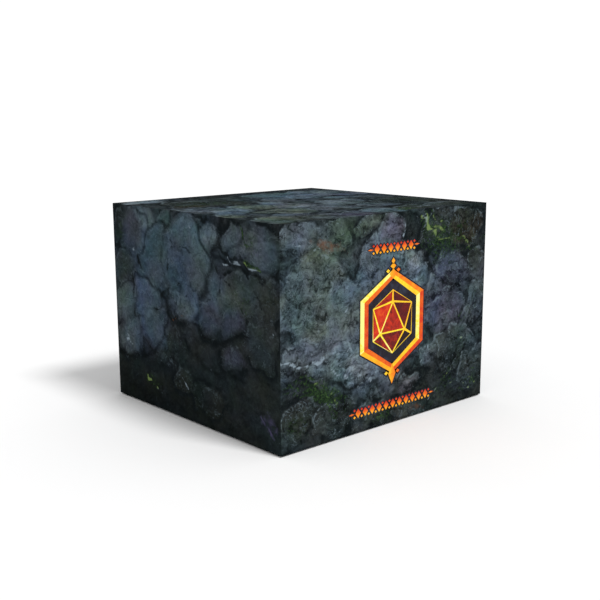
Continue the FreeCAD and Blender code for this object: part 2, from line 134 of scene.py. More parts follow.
class Graph:
    """Adds nodes to a tree, sets their inputs and joins them."""

    def __init__(self, tree: bpy.types.NodeTree) -> None:
        """Wrap a node tree."""
        self.tree = tree

    def add(self, kind: str, inputs: dict | None = None, **settings: object) -> bpy.types.Node:
        """Add a node.

        Args:
            kind: The node's type name without its ShaderNode prefix.
            inputs: Values for its inputs, by name or index.
            settings: Properties of the node itself.

        Returns:
            The new node.
        """
        node = self.tree.nodes.new(f"ShaderNode{kind}")
        for name, setting in settings.items():
            setattr(node, name, setting)
        for name, source in (inputs or {}).items():
            self.feed(node.inputs[name], source)
        return node

    def feed(self, socket: bpy.types.NodeSocket, source: object) -> None:
        """Join a socket to a value, or set its own.

        Args:
            socket: The socket to feed.
            source: A value of the same tree, a number, a colour or a vector.
        """
        if isinstance(source, Value):
            self.tree.links.new(source.socket, socket)
        elif socket.type == "RGBA" and len(source) == 3:
            socket.default_value = (*source, 1.0)
        else:
            socket.default_value = source

    def named(self, node: bpy.types.Node) -> dict[str, Value]:
        """Return a node's outputs by name."""
        return {socket.name: Value(self, socket) for socket in node.outputs if socket.name}

    def math(self, operation: str, first: object, second: object = 0.0, clamp: bool = False) -> Value:
        """Return the result of a sum of one or two values."""
        node = self.add("Math", {0: first, 1: second}, operation=operation, use_clamp=clamp)
        return Value(self, node.outputs[0])

    def largest(self, *values: Value) -> Value:
        """Compare values.

        Args:
            values: The values.

        Returns:
            The largest one.
        """
        best = values[0]
        for value in values[1:]:
            best = self.math("MAXIMUM", best, value)
        return best

    def vector(self, operation: str, first: object, second: object) -> Value:
        """Return the result of a vector sum."""
        return Value(self, self.add("VectorMath", {0: first, 1: second}, operation=operation).outputs[0])

    def scaled(self, colour: Value, share: Value) -> Value:
        """Return a colour made lighter or darker by a share."""
        return Value(self, self.add("VectorMath", {0: colour, 3: share}, operation="SCALE").outputs[0])

    def axes(self, vector: Value) -> list[Value]:
        """Return a vector's three parts."""
        return [Value(self, socket) for socket in self.add("SeparateXYZ", {0: vector}).outputs]

    def mapped(self, vector: Value, **mapping: Sequence[float]) -> Value:
        """Return a place moved, turned or stretched."""
        return Value(self, self.add("Mapping", {"Vector": vector, **mapping}).outputs[0])

    def blend(self, share: object, under: object, over: object) -> Value:
        """Return a mix of two colours."""
        return Value(self, self.add("Mix", {0: share, 6: under, 7: over}, data_type="RGBA").outputs[2])

    def noise(self, place: Value, scale: float, detail: float, rough: float, twist: float = 0.0,
              output: str = "Fac") -> Value:
        """Add a cloud pattern.

        Args:
            place: Where it is read.
            scale: How fine it is.
            detail: How many finer layers it has.
            rough: How strong they are.
            twist: How far it is swirled.
            output: Fac for its value, Color for its colour.

        Returns:
            The pattern's value or colour.
        """
        node = self.add("TexNoise", {"Vector": place, "Scale": scale, "Detail": detail, "Roughness": rough,
                                     "Distortion": twist})
        return Value(self, node.outputs[output])

    def cells(self, place: Value, scale: float, feature: str) -> dict[str, Value]:
        """Return a cell pattern's outputs."""
        return self.named(self.add("TexVoronoi", {"Vector": place, "Scale": scale}, feature=feature))

    def ramp(self, value: Value, stops: Sequence[tuple[float, Colour]]) -> Value:
        """Pick a colour along stops.

        Args:
            value: Where along the stops.
            stops: Places, 0 to 1, and their colours.

        Returns:
            The colour.
        """
        node = self.add("ValToRGB", {0: value})
        band = node.color_ramp
        while len(band.elements) < len(stops):
            band.elements.new(0.5)
        for element, (place, colour) in zip(band.elements, stops):
            element.position = place
            element.color = (*colour, 1.0)
        return Value(self, node.outputs["Color"])

    def place(self) -> Value:
        """Return a point's place in the box's frame."""
        return Value(self, self.add("TexCoord").outputs["Object"])

    def place_in_mm(self) -> Value:
        """Return a point's place in millimetres."""
        return self.vector("MULTIPLY", self.place(), (1 / MM, 1 / MM, 1 / MM))

    def normal(self) -> list[Value]:
        """Return the three parts of the way a surface faces."""
        return self.axes(Value(self, self.add("NewGeometry").outputs["Normal"]))

    def attribute(self, name: str, output: str) -> Value:
        """Return one output of a mesh attribute."""
        return Value(self, self.add("Attribute", attribute_name=name).outputs[output])

    def group(self, effect: EffectGroup, **inputs: object) -> dict[str, Value]:
        """Place a shared effect.

        Args:
            effect: The effect.
            inputs: Its inputs by name. Place is the point's own place unless it is given.

        Returns:
            The effect's outputs by name.
        """
        node = self.tree.nodes.new("ShaderNodeGroup")
        node.node_tree = effect.tree()
        for name, source in {"Place": None, **inputs}.items():
            self.feed(node.inputs[name], self.place() if source is None else source)
        return self.named(node)


@dataclass(frozen=True)
class EffectGroup:
    """A shader effect that several materials share; each takes a place and perhaps a heat."""

    name: str
    body: Callable[[Graph, dict[str, Value]], dict[str, Value]]
    outputs: tuple[str, ...]
    kind: str = "Float"
    takes_heat: bool = False

    def tree(self) -> bpy.types.NodeTree:
        """Build the effect on its first use.

        Returns:
            Its node tree.
        """
        known = bpy.data.node_groups.get(self.name)
        if known is not None:
            return known
        tree = bpy.data.node_groups.new(self.name, "ShaderNodeTree")
        tree.interface.new_socket(name="Place", in_out="INPUT", socket_type="NodeSocketVector")
        if self.takes_heat:
            heat = tree.interface.new_socket(name="Heat", in_out="INPUT", socket_type="NodeSocketFloat")
            heat.default_value = 0.5
        for name in self.outputs:
            tree.interface.new_socket(name=name, in_out="OUTPUT", socket_type=f"NodeSocket{self.kind}")
        graph = Graph(tree)
        start = tree.nodes.new("NodeGroupInput")
        end = tree.nodes.new("NodeGroupOutput")
        for name, value in self.body(graph, graph.named(start)).items():
            graph.feed(end.inputs[name], value)
        return tree


def _brushwork(graph: Graph, given: dict[str, Value]) -> dict[str, Value]:
    """Painted texture: broad patches, slanting strokes, swirls, separate dabs, ragged edges and cracks.

    Args:
        graph: The effect's graph.
        given: The effect's inputs by name.

    Returns:
        Its outputs by name.
    """
    place = given["Place"]
    drift = graph.noise(place, 0.05, 3.0, 0.6, output="Color")
    shift = graph.vector("MULTIPLY", graph.vector("SUBTRACT", drift, (0.5, 0.5, 0.5)), (30.0, 30.0, 30.0))
    moved = graph.vector("ADD", place, shift)
    slanted = graph.mapped(moved, Rotation=(0.45, 0.5, 0.35), Scale=(0.32, 0.32, 1.0))
    dabs = graph.add("SeparateColor", {0: graph.cells(moved, 0.17, "F1")["Color"]})
    return {"Patches": graph.noise(moved, 0.045, 3.0, 0.55),
            "Strokes": graph.noise(slanted, 0.15, 3.0, 0.55, 0.8),
            "Swirls": graph.noise(place, 0.11, 3.0, 0.55, 2.2), "Dabs": Value(graph, dabs.outputs[0]),
            "Edge": graph.noise(place, 0.12, 5.0, 0.6),
            "Cracks": graph.cells(moved, 0.06, "DISTANCE_TO_EDGE")["Distance"],
            "Veins": graph.noise(moved, 0.06, 4.0, 0.58, 1.4) - 0.5}


def _fibres(graph: Graph, given: dict[str, Value]) -> dict[str, Value]:
    """Paper and board surface: matted fibres, faint clouds and a height for relief.

    Args:
        graph: The effect's graph.
        given: The effect's inputs by name.

    Returns:
        Its outputs by name.
    """
    place = given["Place"]
    threads = graph.noise(graph.mapped(place, Scale=(1.0, 1.6, 0.7)), 900.0, 5.0, 0.7, 0.6)
    specks = graph.noise(place, 2600.0, 2.0, 0.5)
    shade = threads * 0.6 + graph.noise(place, 22.0, 3.0, 0.55) * 0.4
    return {"Shade": shade, "Height": threads + specks * 0.35, "Specks": specks}


def _flame(graph: Graph, given: dict[str, Value]) -> dict[str, Value]:
    """Hot metal colours from deep red over orange to pale yellow, with a painted unevenness.

    Args:
        graph: The effect's graph.
        given: The effect's inputs by name.

    Returns:
        Its outputs by name.
    """
    heat = given["Heat"] + (graph.noise(given["Place"], 140.0, 4.0, 0.6, 0.8) - 0.5) * 0.42
    stops = ((0.0, printed(34, 14, 22)), (0.16, printed(104, 18, 16)), (0.32, printed(206, 48, 20)),
             (0.52, printed(238, 112, 20)), (0.72, printed(250, 178, 28)), (0.92, printed(255, 228, 48)),
             (1.0, printed(255, 244, 140)))
    return {"Color": graph.ramp(heat, stops)}


BRUSHWORK = EffectGroup("Brushwork", _brushwork,
                        ("Patches", "Strokes", "Swirls", "Dabs", "Edge", "Cracks", "Veins"))
FIBRES = EffectGroup("Fibres", _fibres, ("Shade", "Height", "Specks"))
FLAME = EffectGroup("Flame", _flame, ("Color",), "Color", True)


# Finishes


@dataclass(frozen=True)
class Coat:
    """What a finish puts on its shader; relief depth is in metres."""

    colour: Value
    rough: Value
    height: Value | None = None
    depth: float = 0.0
    gloss: float = 0.5
    more: tuple[tuple[str, float], ...] = ()


class Finish:
    """A material that is built once and then shared."""

    name: str

    def fill(self, graph: Graph) -> Coat:
        """Add the finish's nodes.

        Args:
            graph: The material's graph.

        Returns:
            What they put on the shader.
        """
        raise NotImplementedError

    def material(self) -> bpy.types.Material:
        """Build the finish's material on its first use.

        Returns:
            The material.
        """
        name = f"{self.name}_finish"
        known = bpy.data.materials.get(name)
        if known is not None:
            return known
        material = bpy.data.materials.new(name)
        material.use_nodes = True
        graph = Graph(material.node_tree)
        coat = self.fill(graph)
        sockets = material.node_tree.nodes["Principled BSDF"].inputs
        graph.feed(sockets["Base Color"], coat.colour)
        graph.feed(sockets["Roughness"], coat.rough)
        for socket, setting in (("Specular IOR Level", coat.gloss), *coat.more):
            sockets[socket].default_value = setting
        if coat.height is not None:
            bump = graph.add("Bump", {"Height": coat.height, "Distance": coat.depth, "Strength": 1.0})
            graph.feed(sockets["Normal"], Value(graph, bump.outputs[0]))
        return material


@dataclass(frozen=True)
class StonePrint(Finish):
    """Printed wrap: painted stones whose layout the mesh carries, with brushwork on top."""

    name: str = "stone_print"
    rough: float = 0.58

    def fill(self, graph: Graph) -> Coat:
        """Paint stones, gaps, moss and highlights from the attributes paint, form and accent.

        Args:
            graph: The material's graph.

        Returns:
            The coat.
        """
        place = graph.place_in_mm()
        brush = graph.group(BRUSHWORK, Place=place)
        edge, light, moss = graph.axes(graph.attribute("form", "Vector"))
        vigour = graph.attribute("paint", "Alpha")
        colour = self._stone_body(graph, place, brush, light, vigour)
        colour = self._edges(graph, brush, edge, light, vigour, colour)
        colour = self._accents(graph, place, brush, moss, colour)
        fibres = graph.group(FIBRES)
        rough = fibres["Shade"].span(0.3, 0.7, self.rough, self.rough + 0.16)
        return Coat(colour, rough, fibres["Height"], 0.00002, 0.001)

    def _stone_body(self, graph: Graph, place: Value, brush: dict[str, Value], light: Value,
                    vigour: Value) -> Value:
        """Shade and tint the stones' own colour.

        Args:
            graph: The material's graph.
            place: The point's place in millimetres.
            brush: The brushwork's outputs.
            light: How much the stone faces the light there.
            vigour: How strong the brushwork is.

        Returns:
            The colour.
        """
        shade = light.span(-1.0, 1.0, -0.20, 0.20, smooth=False)
        for name, reach in (("Patches", 1.4), ("Strokes", 3.0), ("Swirls", 2.2), ("Dabs", 0.34)):
            shade = shade + (brush[name] - 0.5) * reach
        plain = (0.5, (1.0, 1.0, 1.0))
        cool = graph.ramp(graph.noise(place, 0.026, 2.0, 0.5),
                          ((0.36, (0.88, 1.0, 1.07)), plain, (0.64, (1.07, 1.0, 0.92))))
        green = graph.ramp(graph.noise(place, 0.038, 3.0, 0.6),
                           ((0.34, (1.02, 0.97, 1.08)), plain, (0.66, (0.96, 1.04, 0.92))))
        tinted = graph.vector("MULTIPLY", graph.attribute("paint", "Color"), cool)
        tinted = graph.vector("MULTIPLY", tinted, green)
        return graph.scaled(tinted, graph.math("MAXIMUM", shade * vigour + 1.0, 0.25))

    def _edges(self, graph: Graph, brush: dict[str, Value], edge: Value, light: Value, vigour: Value,
               colour: Value) -> Value:
        """Draw lit rims, gaps between stones, fine cracks and veins.

        Args:
            graph: The material's graph.
            brush: The brushwork's outputs.
            edge: How deep the point lies inside its stone, in millimetres.
            light: How much the stone faces the light there.
            vigour: How strong the brushwork is.
            colour: The colour so far.

        Returns:
            The colour with the lines.
        """
        ragged = edge + (brush["Edge"] - 0.5) * 9.0
        lit = ragged.span(0.8, 2.2) * ragged.span(5.0, 2.4) * brush["Strokes"].span(0.46, 0.58)
        lit = lit * light.span(-0.2, 0.9, 0.0, 0.5) * vigour.span(0.3, 1.0, 0.15, 1.0)
        colour = graph.blend(lit, colour, printed(112, 128, 136))
        gap = ragged.span(1.3, -0.3) * ragged.span(-7.0, -1.5, 0.2, 1.0)
        gap = gap * brush["Patches"].span(0.42, 0.60, 0.92, 0.22)
        colour = graph.blend(gap, colour, printed(18, 23, 25))
        cracks = brush["Cracks"].span(0.06, 0.0) * brush["Patches"].span(0.6, 0.4) * 0.6 * vigour
        colour = graph.blend(cracks, colour, printed(18, 24, 26))
        shown = brush["Dabs"].span(0.25, 0.6) * vigour
        veins = brush["Veins"]
        dark = veins.span(-0.024, -0.008) * veins.span(0.008, -0.002) * shown * 0.6
        colour = graph.blend(dark, colour, printed(18, 23, 26))
        pale = veins.span(0.0, 0.012) * veins.span(0.034, 0.016) * shown * edge.span(-1.0, 2.0, 0.08, 0.34)
        return graph.blend(pale, colour, printed(120, 138, 148))

    def _accents(self, graph: Graph, place: Value, brush: dict[str, Value], moss: Value,
                 colour: Value) -> Value:
        """Add rust, violet, moss and chalk strokes.

        Args:
            graph: The material's graph.
            place: The point's place in millimetres.
            brush: The brushwork's outputs.
            moss: How much moss grows there.
            colour: The colour so far.

        Returns:
            The colour with the strokes.
        """
        chalk, rust, violet = graph.axes(graph.attribute("accent", "Vector"))
        rusty = (rust + brush["Edge"]).span(0.78, 1.25) * 0.7
        colour = graph.blend(rusty, colour, printed(104, 68, 46))
        bloom = (violet + brush["Edge"]).span(0.78, 1.25) * 0.6
        colour = graph.blend(bloom, colour, printed(84, 78, 112))
        cover = moss + (graph.noise(place, 0.17, 6.0, 0.7, 1.6) - 0.5) * 2.2
        tufts = graph.ramp(graph.noise(place, 0.24, 5.0, 0.7, 1.8),
                           ((0.36, printed(17, 26, 18)), (0.5, printed(31, 47, 29)),
                            (0.6, printed(52, 77, 42)), (0.70, printed(90, 116, 64)),
                            (0.8, printed(150, 170, 108))))
        colour = graph.blend(cover.span(0.34, 0.8) * 0.85, colour, tufts)
        tip = graph.blend(moss.span(0.15, 0.4), printed(140, 156, 168), printed(118, 140, 82))
        streak = chalk + (brush["Edge"] - 0.5) * 2.4
        return graph.blend(streak.span(0.4, 0.95) * 0.75, colour, tip)


@dataclass(frozen=True)
class PlainSheet(Finish):
    """Paper or board of one colour with fibres, faint clouds and flecks."""

    name: str
    colour: Colour
    fleck: Colour
    contrast: float
    rough: float

    def fill(self, graph: Graph) -> Coat:
        """Mix the colour with its flecks by the fibres.

        Args:
            graph: The material's graph.

        Returns:
            The coat.
        """
        fibres = graph.group(FIBRES)
        colour = graph.blend(fibres["Shade"].span(0.38, 0.68, 0.0, self.contrast), self.colour, self.fleck)
        colour = graph.blend(fibres["Specks"].span(0.66, 0.74, 0.0, self.contrast), colour, self.fleck)
        rough = fibres["Height"].span(0.4, 0.9, self.rough, self.rough + 0.12)
        return Coat(colour, rough, fibres["Height"], 0.00004, 0.3)


class Facing(Enum):
    """The axis that a sheet of board faces."""

    X = 0
    Y = 1
    Z = 2


@dataclass(frozen=True)
class LinedBoard(Finish):
    """Insert board: lining paper on both faces and a raw grey core at its cut edges."""

    facing: Facing

    @property
    def name(self) -> str:
        """Return the material's name."""
        return f"lined_board_{self.facing.name.lower()}"

    def fill(self, graph: Graph) -> Coat:
        """Show the core wherever the surface doesn't face the board's own axis.

        Args:
            graph: The material's graph.

        Returns:
            The coat.
        """
        cut = abs(graph.normal()[self.facing.value]).span(0.8, 0.6)
        fibres = graph.group(FIBRES)
        layers = graph.noise(graph.place(), 1600.0, 4.0, 0.7)
        core = graph.blend(layers.span(0.35, 0.68), printed(146, 136, 122), printed(96, 88, 78))
        shade = fibres["Shade"].span(0.35, 0.68, 0.86, 1.06)
        colour = graph.scaled(graph.blend(cut, printed(206, 200, 188), core), shade)
        return Coat(colour, cut.span(0.0, 1.0, 0.62, 0.9), fibres["Height"], 0.00006, 0.3)


@dataclass(frozen=True)
class FlameInk(Finish):
    """Printed flame colours, picked by the attribute glow."""

    name: str = "flame_ink"

    def fill(self, graph: Graph) -> Coat:
        """Colour each facet by its heat.

        Args:
            graph: The material's graph.

        Returns:
            The coat.
        """
        flame = graph.group(FLAME, Heat=graph.attribute("glow", "Fac"))
        fibres = graph.group(FIBRES)
        rough = fibres["Shade"].span(0.3, 0.7, 0.42, 0.58)
        return Coat(flame["Color"], rough, fibres["Height"], 0.00002, 0.15)


@dataclass(frozen=True)
class NightInk(Finish):
    """Near-black ink behind the emblem, with violet and blue clouds."""

    name: str = "night_ink"

    def fill(self, graph: Graph) -> Coat:
        """Cloud the ink.

        Args:
            graph: The material's graph.

        Returns:
            The coat.
        """
        colour = graph.ramp(graph.noise(graph.place(), 60.0, 5.0, 0.6, 0.5),
                            ((0.3, printed(20, 18, 20)), (0.55, printed(34, 30, 42)),
                             (0.75, printed(52, 60, 74))))
        fibres = graph.group(FIBRES)
        return Coat(colour, fibres["Shade"].span(0.3, 0.7, 0.46, 0.62), fibres["Height"], 0.00002, 0.12)


@dataclass(frozen=True)
class CardStock(Finish):
    """Playing cards: white stock with a lattice back inside a border."""

    name: str
    centre: tuple[float, float]
    half: tuple[float, float]
    ink: Colour
    accent: Colour

    def fill(self, graph: Graph) -> Coat:
        """Print the lattice on what faces up, and stripe the cut edges.

        Args:
            graph: The material's graph.

        Returns:
            The coat.
        """
        axes = graph.axes(graph.mapped(graph.place(), Location=(-self.centre[0], -self.centre[1], 0.0)))
        border = graph.largest(*(abs(axis) - half for axis, half in zip(axes, self.half)))
        line = border.span(-0.0062, -0.0060) * border.span(-0.0054, -0.0056)
        waves = [abs(graph.math("SINE", slant * 520.0)) for slant in (axes[0] + axes[1], axes[0] - axes[1])]
        lattice = graph.math("MINIMUM", *waves).span(0.26, 0.14)
        pattern = graph.largest(lattice, (waves[0] * waves[1]).span(0.86, 0.95), line)
        uneven = graph.noise(graph.place(), 120.0, 4.0, 0.6)
        ink = graph.blend(uneven.span(0.3, 0.7, 0.0, 0.35), self.ink, (0.0, 0.0, 0.0))
        back = graph.blend(pattern * 0.9, ink, self.accent)
        stock = graph.blend(uneven.span(0.35, 0.7), printed(240, 238, 230), printed(222, 218, 206))
        shown = border.span(-0.0046, -0.0048) * graph.normal()[2].span(0.8, 0.95)
        linen = graph.math("SINE", axes[0] * 9000.0) * graph.math("SINE", axes[1] * 9000.0)
        return Coat(graph.blend(shown, stock, back), uneven.span(0.3, 0.7, 0.34, 0.48), linen, 0.000015, 0.4)


@dataclass(frozen=True)
class DieResin(Finish):
    """Cast resin with cloudy swirls and painted pips."""

    name: str
    centre: Vector
    turn: float
    half: float
    resin: Colour
    swirl: Colour
    pip: Colour

    def fill(self, graph: Graph) -> Coat:
        """Paint what lies below the faces, and cloud the rest.

        Args:
            graph: The material's graph.

        Returns:
            The coat.
        """
        moved = graph.mapped(graph.place(), Location=tuple(-self.centre))
        turned = graph.mapped(moved, Rotation=(0.0, 0.0, -self.turn))
        sizes = [abs(axis) for axis in graph.axes(turned)]
        reach = graph.largest(*sizes)
        squares = [graph.math("POWER", size, 2.0) for size in (*sizes, reach)]
        beside = graph.math("SQRT", squares[0] + squares[1] + squares[2] - squares[3])
        sunk = beside.span(0.0068, 0.0064) * reach.span(self.half - 0.00006, self.half - 0.00012)
        clouds = graph.noise(turned, 190.0, 4.0, 0.55, 2.2)
        body = graph.blend(clouds.span(0.38, 0.66), self.resin, self.swirl)
        fine = graph.noise(turned, 1400.0, 3.0, 0.6)
        return Coat(graph.blend(sunk, body, self.pip), fine.span(0.3, 0.75, 0.12, 0.26), fine, 0.000006,
                    more=(("Coat Weight", 0.35), ("Coat Roughness", 0.08)))


@dataclass(frozen=True)
class TokenPrint(Finish):
    """Punched board token: printed faces and a raw core at its rim, from the attribute print."""

    name: str
    ink: Colour
    pale: Colour
    rays: int

    def fill(self, graph: Graph) -> Coat:
        """Print a ring, a star and a hub, and show the board at the rim.

        Args:
            graph: The material's graph.

        Returns:
            The coat.
        """
        spot = graph.attribute("print", "Vector")
        axes = graph.axes(spot)
        reach = Value(graph, graph.add("VectorMath", {0: spot}, operation="LENGTH").outputs[1])
        angle = graph.math("ARCTAN2", axes[1], axes[0])
        wave = graph.math("COSINE", angle * float(self.rays))
        star = (reach - wave.span(-1.0, 1.0, 0.30, 0.62, smooth=False)).span(0.01, -0.015)
        ring = reach.span(0.74, 0.76) * reach.span(0.86, 0.84)
        dots = graph.math("COSINE", angle * float(self.rays * 3))
        beads = dots.span(0.55, 0.8) * reach.span(0.66, 0.67) * reach.span(0.72, 0.71)
        drawing = graph.largest(graph.math("SUBTRACT", star, reach.span(0.17, 0.14), clamp=True), ring, beads)
        uneven = graph.noise(graph.place(), 150.0, 5.0, 0.65, 0.8)
        dark = graph.blend(uneven.span(0.35, 0.7), self.ink, printed(24, 24, 26))
        pale = graph.blend(uneven.span(0.3, 0.7), self.pale, printed(120, 84, 40))
        core = abs(graph.normal()[2]).span(0.45, 0.3)
        fibres = graph.group(FIBRES)
        board = graph.blend(fibres["Shade"], printed(150, 138, 120), printed(196, 186, 168))
        colour = graph.blend(core, graph.blend(drawing, dark, pale), board)
        return Coat(colour, core.span(0.0, 1.0, 0.44, 0.86), fibres["Height"], 0.00004, 0.35)


@dataclass(frozen=True)
class BookCover(Finish):
    """Rule book cover: dark printed card with two frame lines and a lozenge, on its broad faces."""

    low: Vector
    high: Vector
    name: str = "book_cover"

    def fill(self, graph: Graph) -> Coat:
        """Print the frame over painted clouds.

        Args:
            graph: The material's graph.

        Returns:
            The coat.
        """
        middle, half = (self.low + self.high) / 2, (self.high - self.low) / 2
        axes = graph.axes(graph.mapped(graph.place(), Location=(-middle.x, 0.0, -middle.z)))
        flat_x, flat_z = abs(axes[0]), abs(axes[2])
        border = graph.largest(flat_x - half.x, flat_z - half.z)
        slant = flat_x + flat_z
        drawing = graph.largest(border.span(-0.0100, -0.0098) * border.span(-0.0084, -0.0086),
                                border.span(-0.0126, -0.0124) * border.span(-0.0118, -0.0120),
                                slant.span(0.042, 0.0422) * slant.span(0.0462, 0.0460),
                                slant.span(0.0142, 0.0140))
        brush = graph.group(BRUSHWORK, Place=graph.place_in_mm())
        clouds = graph.ramp(brush["Swirls"], ((0.3, printed(34, 40, 44)), (0.5, printed(62, 74, 80)),
                                              (0.7, printed(92, 106, 112))))
        colour = graph.blend(drawing, clouds, graph.group(FLAME, Heat=0.62)["Color"])
        rough = brush["Edge"].span(0.3, 0.7, 0.36, 0.5)
        return Coat(colour, rough, graph.group(FIBRES)["Height"], 0.00002, 0.35)


@dataclass(frozen=True)
class PageBlock(Finish):
    """Stacked paper leaves: cream with fine lines along the cut edges."""

    name: str = "book_pages"
    leaf: float = 0.18 * MM

    def fill(self, graph: Graph) -> Coat:
        """Draw one line for each leaf.

        Args:
            graph: The material's graph.

        Returns:
            The coat.
        """
        leaves = graph.math("SINE", graph.axes(graph.place())[1] * (2 * math.pi / self.leaf))
        waver = graph.noise(graph.place(), 90.0, 3.0, 0.6)
        share = leaves.span(-0.2, 0.9) * waver.span(0.25, 0.75, 0.25, 0.6)
        colour = graph.blend(share, printed(240, 234, 218), printed(176, 166, 146))
        return Coat(colour, waver.span(0.3, 0.7, 0.72, 0.86), leaves, 0.00002)


@dataclass(frozen=True)
class StapleWire(Finish):
    """Drawn steel wire with fine lengthwise scratches."""

    name: str = "staple_wire"

    def fill(self, graph: Graph) -> Coat:
        """Scratch the wire lengthwise.

        Args:
            graph: The material's graph.

        Returns:
            The coat.
        """
        scratches = graph.noise(graph.mapped(graph.place(), Scale=(1.0, 1.0, 0.08)), 5200.0, 4.0, 0.6)
        colour = graph.blend(scratches.span(0.35, 0.7), printed(206, 208, 212), printed(150, 152, 158))
        rough = scratches.span(0.3, 0.7, 0.22, 0.42)
        return Coat(colour, rough, scratches, 0.00001, more=(("Metallic", 1.0),))


@dataclass(frozen=True)
class StudioFloor(Finish):
    """White floor with a barely visible unevenness."""

    name: str = "studio_floor"

    def fill(self, graph: Graph) -> Coat:
        """Mix two near whites.

        Args:
            graph: The material's graph.

        Returns:
            The coat.
        """
        clouds = graph.noise(graph.place(), 3.0, 3.0, 0.5)
        colour = graph.blend(clouds, (0.93, 0.93, 0.93), (0.95, 0.95, 0.95))
        return Coat(colour, clouds.span(0.3, 0.7, 0.86, 0.92), gloss=0.0)


# Painted stone faces


class Tone(Enum):
    """Body colours of the painted stones."""

    SLATE = printed(68, 78, 85)
    BLUE = printed(62, 75, 92)
    STEEL = printed(76, 90, 99)
    TEAL = printed(60, 79, 82)
    VIOLET = printed(74, 76, 88)
    DUSK = printed(56, 60, 72)
    MOSSY = printed(70, 80, 76)
    PALE = printed(96, 107, 114)
    DEEP = printed(44, 50, 50)
    EARTH = printed(50, 50, 45)
    GREEN = printed(62, 82, 71)
    NIGHT = printed(34, 39, 39)
    PITCH = printed(19, 23, 22)


class Touch(Enum):
    """What a stroke or a patch adds to the painting."""

    MOSS = "moss"
    PALE = "pale"
    RUST = "rust"
    BLOOM = "violet"
    SHADOW = "shadow"


@dataclass(frozen=True)
class Stone:
    """A painted stone: middle, size and turn on its face in millimetres and degrees."""

    tone: Tone
    across: float
    up: float
    width: float
    height: float
    turn: float = 0.0
    sides: int = 8
    lit_depth: float = 8.0

    def measure(self, across: np.ndarray, up: np.ndarray) -> tuple[np.ndarray, np.ndarray]:
        """Measure points against the stone.

        Args:
            across: Places across the face.
            up: Places up the face.

        Returns:
            How deep each point lies inside the outline, and how much it faces the light.
        """
        x, y = own_axes(self, across, up)
        seed = int(self.across * 7 + self.up * 13 + self.width * 3)
        chance = np.random.default_rng(seed)
        depth = np.full(across.shape, FAR_AWAY)
        light = np.zeros(across.shape)
        for side in range(self.sides):
            bearing = (side + chance.uniform(-0.3, 0.3)) * 2 * math.pi / self.sides
            reach = math.hypot(self.width / 2 * math.cos(bearing), self.height / 2 * math.sin(bearing))
            room = reach * chance.uniform(0.84, 1.04) - (x * math.cos(bearing) + y * math.sin(bearing))
            lit = math.cos(bearing + math.radians(self.turn) - math.radians(LIGHT_BEARING))
            light = np.where(room < depth, lit, light)
            depth = np.minimum(depth, room)
        slope = (y * 0.9 - x * 0.35) / max(self.height, self.width) * 2
        rim = light * np.exp(-np.maximum(depth, 0) / self.lit_depth)
        return depth, np.clip(rim * 0.9 + slope * 0.55, -1, 1)


@dataclass(frozen=True)
class Patch:
    """A soft patch of moss, chalk, rust, violet or shadow, or a wash of another tone."""

    kind: Touch | Tone
    strength: float
    across: float
    up: float
    width: float
    height: float
    turn: float = 0.0

    def cover(self, across: np.ndarray, up: np.ndarray) -> np.ndarray:
        """Measure how far the patch covers points.

        Args:
            across: Places across the face.
            up: Places up the face.

        Returns:
            How much of each point is covered, 0 to 1.
        """
        x, y = own_axes(self, across, up)
        far = (2 * x / self.width) ** 2 + (2 * y / self.height) ** 2
        return self.strength * np.exp(-far * 1.1)


@dataclass(frozen=True)
class Stroke:
    """A painted line through a few points."""

    kind: Touch
    width: float
    strength: float
    points: Sequence[Point]

    def cover(self, across: np.ndarray, up: np.ndarray) -> np.ndarray:
        """Measure how far the stroke covers points.

        Args:
            across: Places across the face.
            up: Places up the face.

        Returns:
            How much of each point is covered, 0 to 1.
        """
        best = np.full(across.shape, FAR_AWAY)
        for (x0, y0), (x1, y1) in zip(self.points, self.points[1:]):
            run, rise = x1 - x0, y1 - y0
            along = np.clip(((across - x0) * run + (up - y0) * rise) / (run * run + rise * rise), 0, 1)
            best = np.minimum(best, np.hypot(across - x0 - along * run, up - y0 - along * rise))
        return self.strength * np.clip(1.3 - best / self.width, 0, 1)


def own_axes(spot: Stone | Patch, across: np.ndarray, up: np.ndarray) -> tuple[np.ndarray, np.ndarray]:
    """Count points of a face along a spot's own width and height.

    Args:
        spot: The stone or patch.
        across: Places across the face.
        up: Places up the face.

    Returns:
        The places along its width and along its height, from its middle.
    """
    turn = math.radians(spot.turn)
    right, above = across - spot.across, up - spot.up
    return right * math.cos(turn) + above * math.sin(turn), above * math.cos(turn) - right * math.sin(turn)


def spots(kind: Touch | Tone, *rows: Sequence[float]) -> list[Patch]:
    """Return patches of one kind, each from its strength, middle, size and turn."""
    return [Patch(kind, *row) for row in rows]


def lines(kind: Touch, *rows: Sequence) -> list[Stroke]:
    """Return strokes of one kind, each from its width, strength and points."""
    return [Stroke(kind, width, strength, points) for width, strength, *points in rows]


def sweep(kinds: Sequence[Touch], width: float, strength: float, start: Point, end: Point, bow: float,
          count: int, apart: float) -> list[Stroke]:
    """Paint a fan of curved lines side by side.

    Args:
        kinds: Paints used in turn.
        width: Width of a line.
        strength: How strongly a line covers.
        start: Where the middle line starts.
        end: Where the middle line ends.
        bow: How far the lines bend to their left.
        count: How many lines there are.
        apart: Distance between neighbours.

    Returns:
        The lines.
    """
    run, rise = end[0] - start[0], end[1] - start[1]
    length = math.hypot(run, rise)
    fan = []
    for number in range(count):
        shift = (number - (count - 1) / 2) * apart
        points = []
        for part in (0.0, 0.25, 0.5, 0.75, 1.0):
            off = shift * (0.5 + part) + bow * 4 * part * (1 - part) + 1.6 * math.sin(number * 2.3 + part * 7)
            across = start[0] + run * part - rise / length * off
            up = start[1] + rise * part + run / length * off
            points.append((across, up))
        fan.append(Stroke(kinds[number % len(kinds)], width, strength, points))
    return fan


